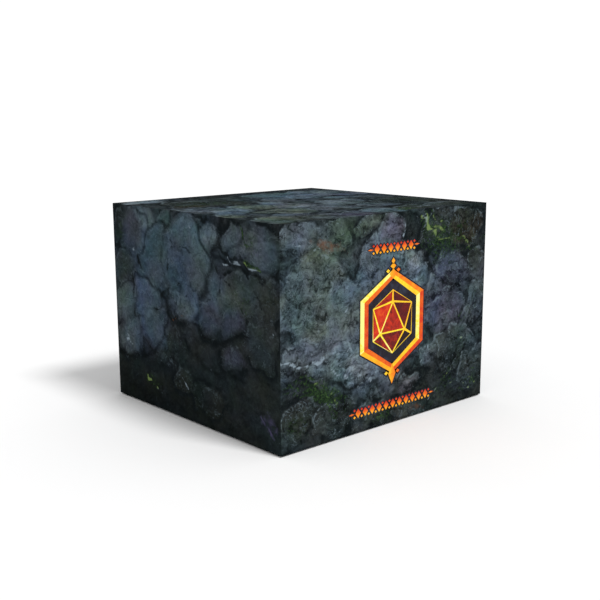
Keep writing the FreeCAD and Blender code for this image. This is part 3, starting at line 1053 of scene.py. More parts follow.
@dataclass
class FacePainting:
    """Layout of one printed face, painted from the back to the front."""

    washes: list[Patch]
    stones: list[Stone] = field(default_factory=list)
    patches: list[Patch] = field(default_factory=list)
    strokes: list[Stroke] = field(default_factory=list)
    vigour: float = 1.0
    melt: float = 7.0
    ground: Tone = Tone.NIGHT
    bend: float = 3.4
    ripple: float = 1.7
    gap_depth: float = -8.0
    shadow: float = 0.8

    def paint(self, across: np.ndarray, up: np.ndarray) -> dict[str, np.ndarray]:
        """Work out the painting's fields at some points.

        Args:
            across: Places across the face in millimetres.
            up: Places up the face in millimetres.

        Returns:
            Arrays of values a point: paint (colour and vigour), form (edge, light, moss) and accent.
        """
        bent_x = across + self.bend * np.sin(up / 13.0 + 0.8)
        bent_x += self.ripple * np.sin((up + across) / 5.7)
        bent_y = up + self.bend * np.sin(across / 15.0 + 2.1)
        bent_y += self.ripple * np.sin((across - up) / 5.1 + 1.0)
        paint = np.tile(np.array(self.ground.value), (len(across), 1))
        touches = {kind: np.zeros(across.shape) for kind in Touch}
        for wash in self.washes:
            paint = laid_over(paint, wash.kind, wash.cover(across, up))
        edge = np.full(across.shape, self.gap_depth)
        light = np.zeros(across.shape)
        for stone in self.stones:
            depth, facing = stone.measure(bent_x, bent_y)
            beside = np.where(edge > 0, np.minimum(edge, -depth), np.maximum(edge, depth))
            edge = np.where(depth > 0, depth, beside)
            light = np.where(depth > 0, facing, light)
            paint = laid_over(paint, stone.tone, np.clip(depth / self.melt, 0, 1))
        for patch in self.patches:
            cover = patch.cover(across, up)
            if isinstance(patch.kind, Tone):
                paint = laid_over(paint, patch.kind, cover)
            else:
                touches[patch.kind] = np.maximum(touches[patch.kind], cover)
        for stroke in self.strokes:
            touches[stroke.kind] = np.maximum(touches[stroke.kind], stroke.cover(bent_x, bent_y))
        paint = paint * (1 - self.shadow * np.clip(touches[Touch.SHADOW], 0, 1))[:, None]
        return {"paint": np.hstack((paint, np.full((len(across), 1), self.vigour))),
                "form": np.stack((edge, light, touches[Touch.MOSS]), axis=1),
                "accent": np.stack((touches[Touch.PALE], touches[Touch.RUST], touches[Touch.BLOOM]), axis=1)}


def laid_over(paint: np.ndarray, tone: Tone, share: np.ndarray) -> np.ndarray:
    """Return the paint with a share of a tone laid over it."""
    return paint * (1 - share[:, None]) + np.array(tone.value) * share[:, None]


def front_painting() -> FacePainting:
    """Lay out the face with the emblem.

    Returns:
        The layout.
    """
    stones = [Stone(*row) for row in (
        (Tone.DEEP, 20, 30, 60, 50), (Tone.DEEP, 70, 25, 60, 40, 10), (Tone.DEEP, 120, 15, 60, 30),
        (Tone.DEEP, 182, 14, 60, 30, 5), (Tone.DEEP, 240, 62, 54, 60, 20),
        (Tone.DEEP, 277, 42, 50, 60, 10), (Tone.EARTH, 262, 200, 66, 44),
        (Tone.DEEP, 215, 200, 52, 40, 10), (Tone.DUSK, 175, 108, 76, 84), (Tone.DEEP, 287, 118, 40, 56),
        (Tone.STEEL, 150, 156, 112, 92, -15), (Tone.PALE, 178, 172, 44, 30, -30),
        (Tone.MOSSY, 44, 146, 100, 92), (Tone.SLATE, 84, 122, 66, 100, 10),
        (Tone.SLATE, 30, 88, 70, 38, -22), (Tone.STEEL, 86, 78, 66, 48, -24),
        (Tone.PALE, 122, 66, 90, 44, -16), (Tone.SLATE, 3, 78, 16, 20), (Tone.STEEL, 47, 71, 30, 21),
        (Tone.SLATE, 127, 42, 62, 26, -10), (Tone.VIOLET, 174, 42, 36, 25),
        (Tone.SLATE, 20, 206, 56, 36, -20), (Tone.SLATE, 68, 204, 54, 34),
        (Tone.MOSSY, 112, 210, 40, 22, 10), (Tone.VIOLET, 149, 202, 44, 36, -10),
        (Tone.DUSK, 246, 152, 62, 44, 10), (Tone.DEEP, 284, 158, 34, 40),
        (Tone.DUSK, 234, 108, 66, 52, -10), (Tone.DEEP, 264, 78, 44, 30, -20),
        (Tone.SLATE, 212, 136, 30, 30), (Tone.SLATE, 205, 64, 34, 30, 30))]
    patches = [
        *spots(Touch.MOSS, (0.62, 228, 186, 90, 60, -20), (0.42, 270, 176, 60, 22),
               (0.85, 56, 50, 76, 26, -30), (0.7, 138, 12, 40, 16), (0.6, 280, 22, 30, 22),
               (0.26, 36, 165, 60, 50), (0.42, 236, 30, 60, 40, 30), (0.4, 20, 26, 50, 40, -30),
               (0.3, 262, 70, 50, 40, 30)),
        *spots(Touch.PALE, (0.42, 180, 168, 56, 28, -25), (0.45, 98, 92, 20, 16),
               (0.4, 110, 62, 90, 20, -16)),
        *spots(Touch.RUST, (0.55, 60, 195, 60, 18, -20), (0.5, 190, 10, 36, 14)),
        Patch(Touch.BLOOM, 0.4, 80, 68, 36, 16, -10), Patch(Tone.TEAL, 0.45, 100, 170, 40, 30),
        Patch(Tone.STEEL, 0.5, 278, 100, 50, 60), Patch(Tone.TEAL, 0.35, 205, 92, 22, 60),
        Patch(Tone.PALE, 0.35, 82, 110, 60, 50), Patch(Tone.DUSK, 0.5, 126, 166, 54, 44),
        Patch(Tone.DEEP, 0.5, 126, 52, 46, 40), Patch(Tone.PALE, 0.5, 72, 58, 40, 26, -20),
        Patch(Tone.STEEL, 0.45, 18, 135, 50, 60), Patch(Tone.GREEN, 0.75, 78, 202, 44, 34),
        Patch(Tone.STEEL, 0.3, 48, 160, 60, 40),
        *spots(Tone.VIOLET, (0.75, 232, 106, 34, 30, -10), (0.5, 18, 208, 34, 24)),
        *spots(Tone.PITCH, (0.4, 254, 128, 34, 20, 20), (0.6, 244, 138, 30, 14, -20)),
        Patch(Tone.STEEL, 0.4, 284, 126, 30, 50), Patch(Tone.PITCH, 0.35, 30, 40, 60, 40, -30)]
    strokes = [
        *lines(Touch.SHADOW, (3.2, 0.8, (0, 90), (18, 78), (38, 70), (60, 63), (92, 52), (126, 47)),
               (3.0, 0.6, (0, 74), (24, 62), (44, 52), (70, 36), (100, 30)),
               (1.6, 0.85, (70, 150), (76, 142), (84, 139), (90, 130), (86, 118)),
               (1.6, 0.6, (40, 186), (52, 172), (62, 168), (70, 150)),
               (1.5, 0.7, (100, 152), (108, 158), (118, 154), (126, 160)),
               (1.4, 0.6, (92, 172), (97, 160), (104, 154)),
               (2.0, 0.85, (196, 196), (206, 178), (209, 162), (216, 146), (206, 132)),
               (1.8, 0.7, (170, 198), (186, 196), (198, 182)),
               (3.4, 0.7, (182, 220), (192, 205), (202, 190), (220, 182), (246, 178), (272, 168)),
               (1.8, 0.7, (216, 146), (230, 136), (250, 134), (262, 142)),
               (1.8, 0.6, (206, 84), (220, 76), (240, 84), (258, 92), (266, 112)),
               (2.4, 0.6, (210, 60), (232, 48), (252, 52), (268, 66)),
               (1.4, 0.6, (12, 150), (22, 140), (20, 126)), (2.2, 0.55, (240, 26), (256, 40), (262, 58))),
        *lines(Touch.PALE, (1.7, 0.95, (0, 98), (14, 88), (34, 79), (48, 80), (60, 88)),
               (1.4, 0.8, (60, 74), (74, 69), (88, 64)), (1.3, 0.9, (16, 202), (20, 196), (27, 195)),
               (1.6, 0.8, (164, 209), (168, 204), (166, 198)), (1.4, 0.95, (60, 50), (66, 47), (70, 41)),
               (1.3, 0.7, (40, 62), (50, 56), (58, 52)),
               (1.8, 0.85, (190, 214), (198, 209), (203, 200), (214, 196), (228, 193)),
               (1.4, 0.6, (206, 212), (212, 204), (224, 200)),
               (1.5, 0.6, (240, 200), (250, 192), (264, 188), (276, 178)),
               (1.5, 0.8, (192, 58), (200, 66), (206, 75)), (1.3, 0.75, (88, 92), (95, 97), (94, 88)),
               (1.2, 0.6, (255, 72), (266, 77)), (1.2, 0.55, (76, 128), (84, 132), (90, 126)),
               (1.3, 0.6, (268, 24), (282, 18), (292, 20))),
        *sweep((Touch.MOSS, Touch.SHADOW, Touch.MOSS, Touch.PALE), 1.3, 0.75, (192, 218), (258, 180), -12, 7,
               4.6),
        *sweep((Touch.SHADOW, Touch.MOSS), 1.5, 0.6, (250, 214), (300, 172), -6, 5, 6.0),
        *sweep((Touch.SHADOW, Touch.MOSS, Touch.MOSS), 1.4, 0.75, (0, 68), (78, 34), 6, 7, 4.4),
        *sweep((Touch.MOSS, Touch.SHADOW, Touch.PALE), 1.2, 0.5, (214, 8), (292, 34), 8, 6, 5.0),
        *sweep((Touch.PALE, Touch.SHADOW), 0.9, 0.5, (40, 96), (118, 56), 5, 6, 4.8),
        *sweep((Touch.SHADOW, Touch.MOSS), 1.4, 0.6, (262, 96), (296, 130), -5, 4, 6.0)]
    washes = [Patch(Tone.SLATE, 0.9, 90, 130, 260, 150), Patch(Tone.DUSK, 0.6, 250, 120, 120, 120)]
    return FacePainting(washes, stones, patches, strokes)


def left_painting() -> FacePainting:
    """Lay out the left face.

    Returns:
        The layout.
    """
    stones = [Stone(*row) for row in (
        (Tone.DEEP, 12, 196, 30, 44), (Tone.NIGHT, 170, 32, 60, 34), (Tone.NIGHT, 110, 76, 60, 40, 10),
        (Tone.DEEP, 258, 104, 60, 48), (Tone.DEEP, 262, 152, 60, 48), (Tone.DEEP, 22, 152, 54, 46),
        (Tone.DEEP, 224, 142, 70, 50), (Tone.SLATE, 190, 145, 54, 36),
        (Tone.SLATE, 252, 196, 76, 48, -15), (Tone.STEEL, 215, 198, 34, 38, 20),
        (Tone.STEEL, 55, 207, 56, 36), (Tone.BLUE, 146, 140, 92, 74), (Tone.STEEL, 166, 170, 54, 74, 20),
        (Tone.BLUE, 120, 172, 72, 70, 10), (Tone.STEEL, 140, 198, 66, 40, -10),
        (Tone.BLUE, 80, 170, 62, 84, -5), (Tone.DUSK, 40, 190, 44, 56, 10), (Tone.TEAL, 100, 213, 34, 20),
        (Tone.PALE, 178, 203, 38, 30), (Tone.SLATE, 28, 70, 60, 50), (Tone.SLATE, 18, 112, 50, 52),
        (Tone.BLUE, 60, 124, 60, 58, 30), (Tone.BLUE, 78, 92, 64, 52, 15), (Tone.STEEL, 137, 117, 42, 36),
        (Tone.DUSK, 176, 118, 46, 44, 5), (Tone.DUSK, 213, 118, 40, 38),
        (Tone.DEEP, 128, 40, 44, 26, -15), (Tone.DUSK, 215, 80, 44, 26))]
    patches = [
        *spots(Touch.MOSS, (0.6, 68, 30, 44, 18, -10), (0.42, 230, 138, 60, 34),
               (0.45, 245, 196, 50, 30, -20), (0.35, 15, 190, 24, 50), (0.24, 24, 120, 50, 40)),
        *spots(Touch.PALE, (0.24, 142, 206, 56, 20, -10), (0.3, 25, 66, 34, 20, -30),
               (0.2, 128, 40, 40, 20, -15)),
        Patch(Touch.RUST, 0.24, 30, 180, 34, 22, -10),
        *spots(Touch.BLOOM, (0.45, 270, 30, 44, 30, -20), (0.4, 252, 190, 26, 14),
               (0.2, 60, 110, 40, 40)),
        Patch(Tone.DUSK, 0.25, 120, 165, 190, 120), Patch(Tone.TEAL, 0.35, 110, 170, 190, 120),
        Patch(Tone.NIGHT, 0.45, 150, 45, 220, 80),
        *spots(Tone.PITCH, (0.85, 40, 12, 190, 60), (0.7, 6, 200, 34, 70), (0.45, 150, 15, 160, 50),
               (0.5, 60, 48, 130, 20)),
        Patch(Tone.DUSK, 0.6, 150, 156, 50, 30),
        *spots(Tone.TEAL, (0.5, 86, 186, 40, 44), (0.45, 22, 116, 40, 40)),
        Patch(Tone.MOSSY, 0.55, 224, 144, 60, 26, 10), Patch(Tone.VIOLET, 0.3, 62, 128, 46, 36, 20),
        Patch(Tone.NIGHT, 0.5, 178, 88, 60, 30)]
    strokes = [
        *lines(Touch.SHADOW,
               (2.2, 0.85, (28, 220), (40, 214), (62, 212), (70, 200), (64, 186), (62, 168), (50, 162)),
               (2.4, 0.9, (70, 200), (78, 209), (90, 210), (102, 204), (110, 210), (112, 220)),
               (1.8, 0.55, (102, 204), (98, 180), (98, 150), (84, 136)),
               (2.6, 0.95, (150, 220), (160, 208), (162, 198), (174, 186), (184, 184)),
               (4.2, 0.9, (196, 220), (194, 204), (186, 188), (184, 170), (172, 152), (160, 136), (154, 112)),
               (2.2, 0.9, (186, 188), (204, 178), (222, 172), (246, 168), (270, 170)),
               (2.0, 0.75, (200, 178), (212, 186), (228, 196), (238, 214)),
               (2.4, 0.85, (0, 126), (20, 132), (34, 134), (42, 144), (66, 142), (84, 136), (98, 130)),
               (1.7, 0.55, (36, 132), (40, 118), (46, 98), (60, 96)),
               (3.0, 0.8, (98, 130), (104, 112), (124, 98), (150, 108), (180, 96), (214, 98), (236, 106)),
               (3.2, 0.85, (104, 112), (100, 90), (80, 72), (60, 58), (30, 48), (0, 52)),
               (2.0, 0.6, (118, 148), (128, 134), (122, 120)),
               (4.0, 0.5, (112, 100), (130, 84), (170, 66), (230, 60))),
        *lines(Touch.PALE, (1.3, 0.9, (205, 175), (222, 177), (244, 174), (262, 174)),
               (1.3, 0.85, (210, 181), (218, 175), (232, 172)),
               (1.2, 0.55, (25, 184), (30, 172), (42, 168), (50, 174)),
               (1.2, 0.6, (168, 197), (180, 191), (192, 195)), (1.2, 0.95, (54, 36), (60, 31), (66, 33)),
               (1.2, 0.95, (74, 30), (80, 25)), (1.0, 0.6, (116, 46), (124, 38), (134, 34)),
               (1.0, 0.6, (172, 24), (182, 22), (188, 24)), (1.2, 0.85, (16, 68), (24, 64), (30, 61)),
               (1.1, 0.8, (272, 122), (280, 120))),
        *lines(Touch.BLOOM, (2.2, 0.6, (255, 36), (266, 28), (280, 20))),
        *lines(Touch.MOSS, (2.4, 0.9, (236, 176), (250, 178), (262, 174)),
               (2.0, 0.8, (226, 210), (232, 200), (240, 192))),
        *lines(Touch.RUST, (1.2, 0.6, (108, 103), (120, 106), (130, 108)))]
    washes = spots(Tone.DUSK, (0.9, 110, 170, 260, 110), (0.6, 50, 100, 140, 90))
    return FacePainting(washes, stones, patches, strokes, 0.5, 10.0)


def top_painting() -> FacePainting:
    """Lay out the top face.

    Returns:
        The layout.
    """
    stones = [Stone(*row) for row in (
        (Tone.DEEP, 70, 205, 110, 84), (Tone.EARTH, 36, 188, 50, 40), (Tone.DEEP, 95, 215, 50, 46, 20),
        (Tone.PALE, 34, 264, 70, 40), (Tone.NIGHT, 112, 262, 56, 34), (Tone.DEEP, 262, 82, 84, 90),
        (Tone.DEEP, 255, 140, 66, 50, 10), (Tone.MOSSY, 28, 28, 76, 58), (Tone.SLATE, 84, 20, 62, 46),
        (Tone.DUSK, 122, 16, 58, 42, 10), (Tone.STEEL, 160, 24, 56, 46), (Tone.DEEP, 206, 22, 62, 46),
        (Tone.DEEP, 262, 24, 66, 50), (Tone.TEAL, 190, 236, 86, 56, 10),
        (Tone.STEEL, 255, 232, 66, 60, -10), (Tone.STEEL, 210, 196, 76, 46),
        (Tone.SLATE, 160, 190, 44, 40), (Tone.VIOLET, 284, 190, 36, 44),
        (Tone.DUSK, 262, 186, 36, 34, 20), (Tone.SLATE, 28, 150, 60, 60),
        (Tone.STEEL, 40, 116, 60, 44, 10), (Tone.MOSSY, 84, 138, 60, 52),
        (Tone.SLATE, 122, 118, 60, 58, -10), (Tone.MOSSY, 84, 84, 70, 52),
        (Tone.SLATE, 140, 76, 62, 42, 10), (Tone.STEEL, 192, 118, 76, 60), (Tone.SLATE, 200, 70, 56, 44),
        (Tone.STEEL, 130, 158, 44, 34), (Tone.SLATE, 60, 52, 46, 30), (Tone.MOSSY, 14, 84, 34, 44),
        (Tone.SLATE, 228, 158, 40, 30))]
    patches = [
        *spots(Touch.MOSS, (0.5, 70, 200, 110, 70), (0.4, 265, 90, 80, 120), (0.75, 190, 16, 40, 20),
               (0.3, 85, 100, 100, 100), (0.5, 26, 26, 60, 50)),
        *spots(Touch.PALE, (0.3, 50, 262, 60, 18), (0.2, 215, 215, 120, 60), (0.25, 30, 150, 60, 80)),
        *spots(Touch.BLOOM, (0.3, 284, 192, 30, 30), (0.4, 118, 16, 44, 24)),
        Patch(Tone.VIOLET, 0.4, 112, 30, 60, 60), Patch(Tone.TEAL, 0.5, 164, 22, 40, 30),
        *spots(Tone.PITCH, (0.6, 68, 214, 130, 64), (0.5, 250, 80, 90, 60), (0.4, 130, 268, 90, 40),
               (0.75, 205, 272, 230, 46), (0.4, 230, 104, 70, 90)),
        Patch(Tone.PALE, 0.35, 275, 214, 70, 70), Patch(Tone.BLUE, 0.5, 235, 195, 170, 110),
        Patch(Tone.DEEP, 0.5, 50, 20, 140, 56), Patch(Tone.PALE, 0.4, 130, 118, 60, 40)]
    strokes = [
        *lines(Touch.SHADOW, (3.0, 0.8, (0, 178), (40, 168), (90, 176), (128, 170), (140, 200), (136, 240)),
               (2.6, 0.8, (140, 200), (180, 176), (220, 170), (262, 166), (300, 168)),
               (2.8, 0.8, (60, 110), (100, 60), (130, 46), (180, 44), (220, 50)),
               (2.2, 0.7, (168, 100), (190, 92), (222, 100), (232, 130))),
        *lines(Touch.PALE, (1.6, 0.5, (150, 214), (176, 206), (206, 214), (236, 208)),
               (1.6, 0.6, (10, 132), (30, 126), (58, 134)), (1.6, 0.5, (160, 96), (186, 90), (214, 96)),
               (1.5, 0.45, (60, 110), (84, 112), (104, 106))),
        *sweep((Touch.MOSS, Touch.PALE, Touch.MOSS), 1.3, 0.7, (176, 12), (236, 28), 8, 6, 4.6),
        *sweep((Touch.SHADOW, Touch.MOSS), 1.5, 0.6, (30, 196), (118, 222), 10, 6, 6.0),
        *sweep((Touch.PALE, Touch.SHADOW), 1.1, 0.4, (166, 224), (270, 246), -8, 6, 6.4)]
    washes = [Patch(Tone.SLATE, 0.8, 150, 150, 360, 300), Patch(Tone.NIGHT, 0.8, 260, 80, 110, 150)]
    return FacePainting(washes, stones, patches, strokes)


def scattered_painting(width: float, height: float, seed: int) -> FacePainting:
    """Scatter stones in the same style over a face.

    Args:
        width: Width of the face in millimetres.
        height: Height of the face in millimetres.
        seed: Start of the random choices.

    Returns:
        The layout.
    """
    chance = np.random.default_rng(seed)
    patch_area, line_count = 5200.0, 9
    tones = (Tone.SLATE, Tone.STEEL, Tone.DEEP, Tone.TEAL, Tone.BLUE, Tone.MOSSY, Tone.DEEP, Tone.SLATE,
             Tone.BLUE, Tone.DUSK, Tone.DEEP, Tone.VIOLET, Tone.STEEL)
    kinds = (Touch.MOSS, Touch.MOSS, Touch.PALE, Touch.BLOOM, Touch.MOSS, Touch.RUST)
    painting = FacePainting(spots(Tone.DUSK, (0.85, width * 0.45, height * 0.6, width * 1.1, height)))
    for step, size, share in ((58.0, 74.0, 1.0), (44.0, 46.0, 0.62)):
        for spot in np.ndindex(int(width / step) + 1, int(height / step) + 1):
            across, up = (np.array(spot) + 0.4 + chance.uniform(-0.32, 0.32, 2)) * step
            wide, tall = size * chance.uniform(0.62, 1.15, 2)
            tone = tones[int(chance.integers(len(tones)))]
            if share == 1.0 or chance.uniform() < share:
                painting.stones.append(Stone(tone, across, up, wide, tall * 0.84, chance.uniform(-35, 35)))
    for _ in range(int(width * height / patch_area)):
        across, up = chance.uniform(0, width), chance.uniform(0, height)
        wide, tall = chance.uniform(24, 80, 2)
        kind = kinds[int(chance.integers(len(kinds)))]
        power = chance.uniform(0.3, 0.75) if kind is Touch.MOSS else chance.uniform(0.2, 0.4)
        painting.patches.append(Patch(kind, power, across, up, wide, tall * 0.6, chance.uniform(-40, 40)))
    for _ in range(line_count):
        start = np.array((chance.uniform(0, width), chance.uniform(0, height)))
        middle = start + chance.uniform(-14, 14, 2)
        end = middle + chance.uniform(-14, 14, 2)
        far = (start + (30, 6), middle + (52, -8), end + (80, 14), end + (110, -6))
        for kind, widths, powers, points in ((Touch.PALE, (1.0, 1.6), (0.45, 0.8), (start, middle, end)),
                                             (Touch.SHADOW, (1.6, 3.4), (0.5, 0.85), far)):
            painting.strokes.append(Stroke(kind, chance.uniform(*widths), chance.uniform(*powers), points))
    return painting


# Meshes


def verts_in(items: Iterable[object]) -> list[bmesh.types.BMVert]:
    """Return the corners among some geometry."""
    return [item for item in items if isinstance(item, bmesh.types.BMVert)]


def draw_out(shape: bmesh.types.BMesh, rim: Sequence[bmesh.types.BMEdge]) -> tuple[list, list]:
    """Extrude a rim in place.

    Args:
        shape: The shape that the rim belongs to.
        rim: The rim's edges.

    Returns:
        The new rim's corners and edges.
    """
    grown = bmesh.ops.extrude_edge_only(shape, edges=rim)["geom"]
    return verts_in(grown), [item for item in grown if isinstance(item, bmesh.types.BMEdge)]


def raise_plate(shape: bmesh.types.BMesh, bottom: float, top: float) -> None:
    """Turn flat faces at height zero into a closed plate between two heights.

    Args:
        shape: The flat faces.
        bottom: Height of the underside.
        top: Height of the upper side.
    """
    low = list(shape.verts)
    grown = bmesh.ops.extrude_face_region(shape, geom=list(shape.faces), use_keep_orig=True)["geom"]
    bmesh.ops.translate(shape, verts=verts_in(grown), vec=(0.0, 0.0, top))
    bmesh.ops.translate(shape, verts=low, vec=(0.0, 0.0, bottom))
    bmesh.ops.recalc_face_normals(shape, faces=list(shape.faces))


def shown_piece(name: str, shape: bmesh.types.BMesh, finish: Finish, body: str, slot: str,
                *stands_for: str) -> bpy.types.Object:
    """Make an object of a finished shape and let it ride on a body.

    Args:
        name: Name of the piece.
        shape: Its shape, in place; it is freed.
        finish: Its finish.
        body: The body it rides on.
        slot: Not used.
        stands_for: CAD nodes that it stands for.

    Returns:
        The new object.
    """
    mesh = bpy.data.meshes.new(name)
    shape.to_mesh(mesh)
    shape.free()
    mesh.materials.append(finish.material())
    piece = bpy.data.objects.new(name, mesh)
    bpy.context.scene.collection.objects.link(piece)
    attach(piece, body)
    if stands_for:
        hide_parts(*stands_for)
    LOG.info("%s: %d faces on body %s", name, len(mesh.polygons), body)
    return piece


def dress(nodes: dict[str, bpy.types.Object], names: Iterable[str], finish: Finish) -> None:
    """Give CAD nodes a finish.

    Args:
        nodes: All CAD nodes.
        names: Which of them to dress.
        finish: Their finish.
    """
    for name in names:
        materials = nodes[name].data.materials
        if len(materials) == 0:
            materials.append(finish.material())
        for index in range(len(materials)):
            materials[index] = finish.material()
        LOG.info("%s dressed in %s", name, finish.name)


class Side(Enum):
    """The faces of the box, as seen from outside."""

    FRONT = "front"
    BACK = "back"
    LEFT = "left"
    RIGHT = "right"
    TOP = "top"


@dataclass
class PrintedHalf:
    """Printed wrap of the lid or the base: outside skin, folded rim and inner flap, as one closed sheet."""

    name: str
    body: str
    node: str
    opens_down: bool
    paintings: dict[Side, FacePainting]
    proud: float = 0.08 * MM
    cell: float = 2.4 * MM
    corner: float = 0.2 * MM
    flap: float = 18.0 * MM
    rim_turn: float = 2.7 * MM
    flap_back: float = 2.45 * MM
    skin: float = 0.15 * MM
    merge: float = 0.05 * MM
    sharp: float = math.radians(45.0)

    def build(self) -> None:
        """Build the wrap and paint it."""
        low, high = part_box(self.node)
        half = Vector(((high.x - low.x) / 2, (high.y - low.y) / 2, (high.z - low.z)))
        shape = bmesh.new()
        self._skin_faces(shape, half)
        self._turn_in(shape, half)
        if not self.opens_down:
            bmesh.ops.scale(shape, vec=(1.0, 1.0, -1.0), verts=list(shape.verts))
            bmesh.ops.translate(shape, vec=(0.0, 0.0, half.z), verts=list(shape.verts))
        bmesh.ops.translate(shape, vec=(0.0, 0.0, low.z), verts=list(shape.verts))
        bmesh.ops.recalc_face_normals(shape, faces=list(shape.faces))
        for face in shape.faces:
            face.smooth = True
        piece = shown_piece(self.name, shape, StonePrint(), self.body, "printed_wrap", self.node)
        self._paint(piece.data, low, high)

    def _skin_faces(self, shape: bmesh.types.BMesh, half: Vector) -> None:
        """Join five finely divided faces and round their edges.

        Args:
            shape: The shape to add to.
            half: Half the width and depth, and the whole height.
        """
        wide, deep, tall = half.x - self.proud, half.y - self.proud, half.z - self.proud
        columns, rows, layers = (max(2, round(length / self.cell)) for length in (2 * wide, 2 * deep, tall))
        stand = Matrix.Rotation(math.pi / 2, 4, "X")
        sheets = [(columns, rows, (0.0, 0.0, tall), Matrix(), (wide, deep))]
        for way in (-1, 1):
            sheets.append((columns, layers, (0.0, way * deep, tall / 2), stand, (wide, tall / 2)))
            turned = Matrix.Rotation(math.pi / 2, 4, "Z") @ stand
            sheets.append((rows, layers, (way * wide, 0.0, tall / 2), turned, (deep, tall / 2)))
        for across, up, middle, turn, size in sheets:
            place = Matrix.Translation(middle) @ turn @ Matrix.Diagonal((*size, 1.0, 1.0))
            bmesh.ops.create_grid(shape, x_segments=across, y_segments=up, size=1.0, matrix=place)
        bmesh.ops.remove_doubles(shape, verts=list(shape.verts), dist=self.merge)
        bmesh.ops.recalc_face_normals(shape, faces=list(shape.faces))
        joined = [edge for edge in shape.edges if len(edge.link_faces) == 2]
        sharp = [edge for edge in joined if edge.calc_face_angle() > self.sharp]
        bmesh.ops.bevel(shape, geom=sharp, offset=self.corner, offset_type="OFFSET", affect="EDGES",
                        segments=2, profile=0.5, material=-1)

    def _turn_in(self, shape: bmesh.types.BMesh, half: Vector) -> None:
        """Fold the open rim inwards, lead the sheet back behind the board and close it.

        Args:
            shape: The outside skin.
            half: Half the width and depth, and the whole height.
        """
        rim = [edge for edge in shape.edges if edge.is_boundary]
        steps = ((self.rim_turn, 0.0), (self.rim_turn, self.flap), (self.flap_back, self.flap),
                 (self.flap_back, self.skin), (self.skin, self.skin), (self.skin, half.z - self.skin))
        inset = self.proud
        height = 0.0
        for next_inset, next_height in steps:
            verts, rim = draw_out(shape, rim)
            narrower = [(reach - next_inset) / (reach - inset) for reach in half.xy]
            bmesh.ops.scale(shape, vec=(*narrower, 1.0), verts=verts)
            bmesh.ops.translate(shape, vec=(0.0, 0.0, next_height - height), verts=verts)
            inset, height = next_inset, next_height
        bmesh.ops.contextual_create(shape, geom=rim)

    def _paint(self, mesh: bpy.types.Mesh, low: Vector, high: Vector) -> None:
        """Store the painting's fields on the mesh.

        Args:
            mesh: The wrap, in place.
            low: Lowest corner of its CAD node.
            high: Highest corner of its CAD node.
        """
        places = np.empty(len(mesh.vertices) * 3)
        mesh.vertices.foreach_get("co", places)
        x, y, z = places.reshape(-1, 3).T / MM
        wide, deep = high.x / MM, high.y / MM
        beyond_x, beyond_y = np.abs(x) - wide, np.abs(y) - deep
        cap = z - high.z / MM if self.opens_down else low.z / MM - z
        on_cap = cap > np.maximum(beyond_x, beyond_y)
        on_x = ~on_cap & (beyond_x > beyond_y)
        on_y = ~on_cap & ~on_x
        views = {Side.TOP: (on_cap, x + wide, y + deep), Side.FRONT: (on_y & (y < 0), x + wide, z),
                 Side.BACK: (on_y & (y > 0), wide - x, z), Side.LEFT: (on_x & (x < 0), deep - y, z),
                 Side.RIGHT: (on_x & (x > 0), y + deep, z)}
        kinds = {"paint": ("FLOAT_COLOR", "color", 4), "form": ("FLOAT_VECTOR", "vector", 3),
                 "accent": ("FLOAT_VECTOR", "vector", 3)}
        fields = {name: np.zeros((len(x), size)) for name, (_kind, _output, size) in kinds.items()}
        for side, (chosen, across, up) in views.items():
            for name, values in self.paintings[side].paint(across[chosen], up[chosen]).items():
                fields[name][chosen] = values
        for name, (kind, output, _size) in kinds.items():
            layer = mesh.attributes.new(name, kind, "POINT")
            layer.data.foreach_set(output, fields[name].astype(np.float32).ravel())


@dataclass
class FrontPrint:
    """Base of everything printed on the front face in flame colours: plates that lie on the wrap."""

    across: float
    up: float
    outline_top: float = -0.045 * MM
    band_top: float = -0.02 * MM
    root: float = -0.12 * MM

    def lozenges(self, shape: bmesh.types.BMesh, places: Iterable[Sequence[float]], extra: float = 0.0,
                 split: bool = True) -> None:
        """Add flat lozenges in millimetres, split into an upper and a lower facet.

        Args:
            shape: The shape to add to.
            places: Each one's middle, width and height.
            extra: What is added to the widths and heights.
            split: Whether to divide them along their width.
        """
        for x, y, wide, tall in places:
            size = Matrix.Diagonal(((wide + extra) / 2, (tall + extra) / 2, 1.0, 1.0))
            place = Matrix.Translation((x * MM, y * MM, 0.0)) @ size
            made = bmesh.ops.create_circle(shape, cap_ends=True, radius=MM, segments=4, matrix=place)["verts"]
            if split:
                parts = {part for vert in made for part in (*vert.link_faces, *vert.link_edges)}
                bmesh.ops.bisect_plane(shape, geom=made + list(parts), plane_co=(0.0, y * MM, 0.0),
                                       plane_no=(0.0, 1.0, 0.0), dist=1e-7)

    def plate(self, name: str, shape: bmesh.types.BMesh, top: float, heat: Heat | None = None) -> None:
        """Thicken flat faces, stand them up on the front face and print them.

        Args:
            name: Name of the piece.
            shape: The flat faces; they are freed.
            top: How far their upper side stands out from the face.
            heat: Gives the heat at a corner from its face's middle and its own place, both counted
                from the print's middle. Without it the plate is dark.
        """
        low, _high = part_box("lid_wrap")
        centre = Vector((low.x + self.across * MM, low.y, self.up * MM))
        raise_plate(shape, self.root, top)
        stand = Matrix.Translation(centre) @ Matrix.Rotation(math.pi / 2, 4, "X")
        bmesh.ops.transform(shape, matrix=stand, verts=list(shape.verts))
        mesh = shown_piece(name, shape, FlameInk() if heat else NightInk(), "lid", "printed_wrap").data
        if heat:
            glow = mesh.attributes.new("glow", "FLOAT", "CORNER")
            for face in mesh.polygons:
                for loop in face.loop_indices:
                    spot = mesh.vertices[mesh.loops[loop].vertex_index].co
                    glow.data[loop].value = heat(face.center - centre, spot - centre)


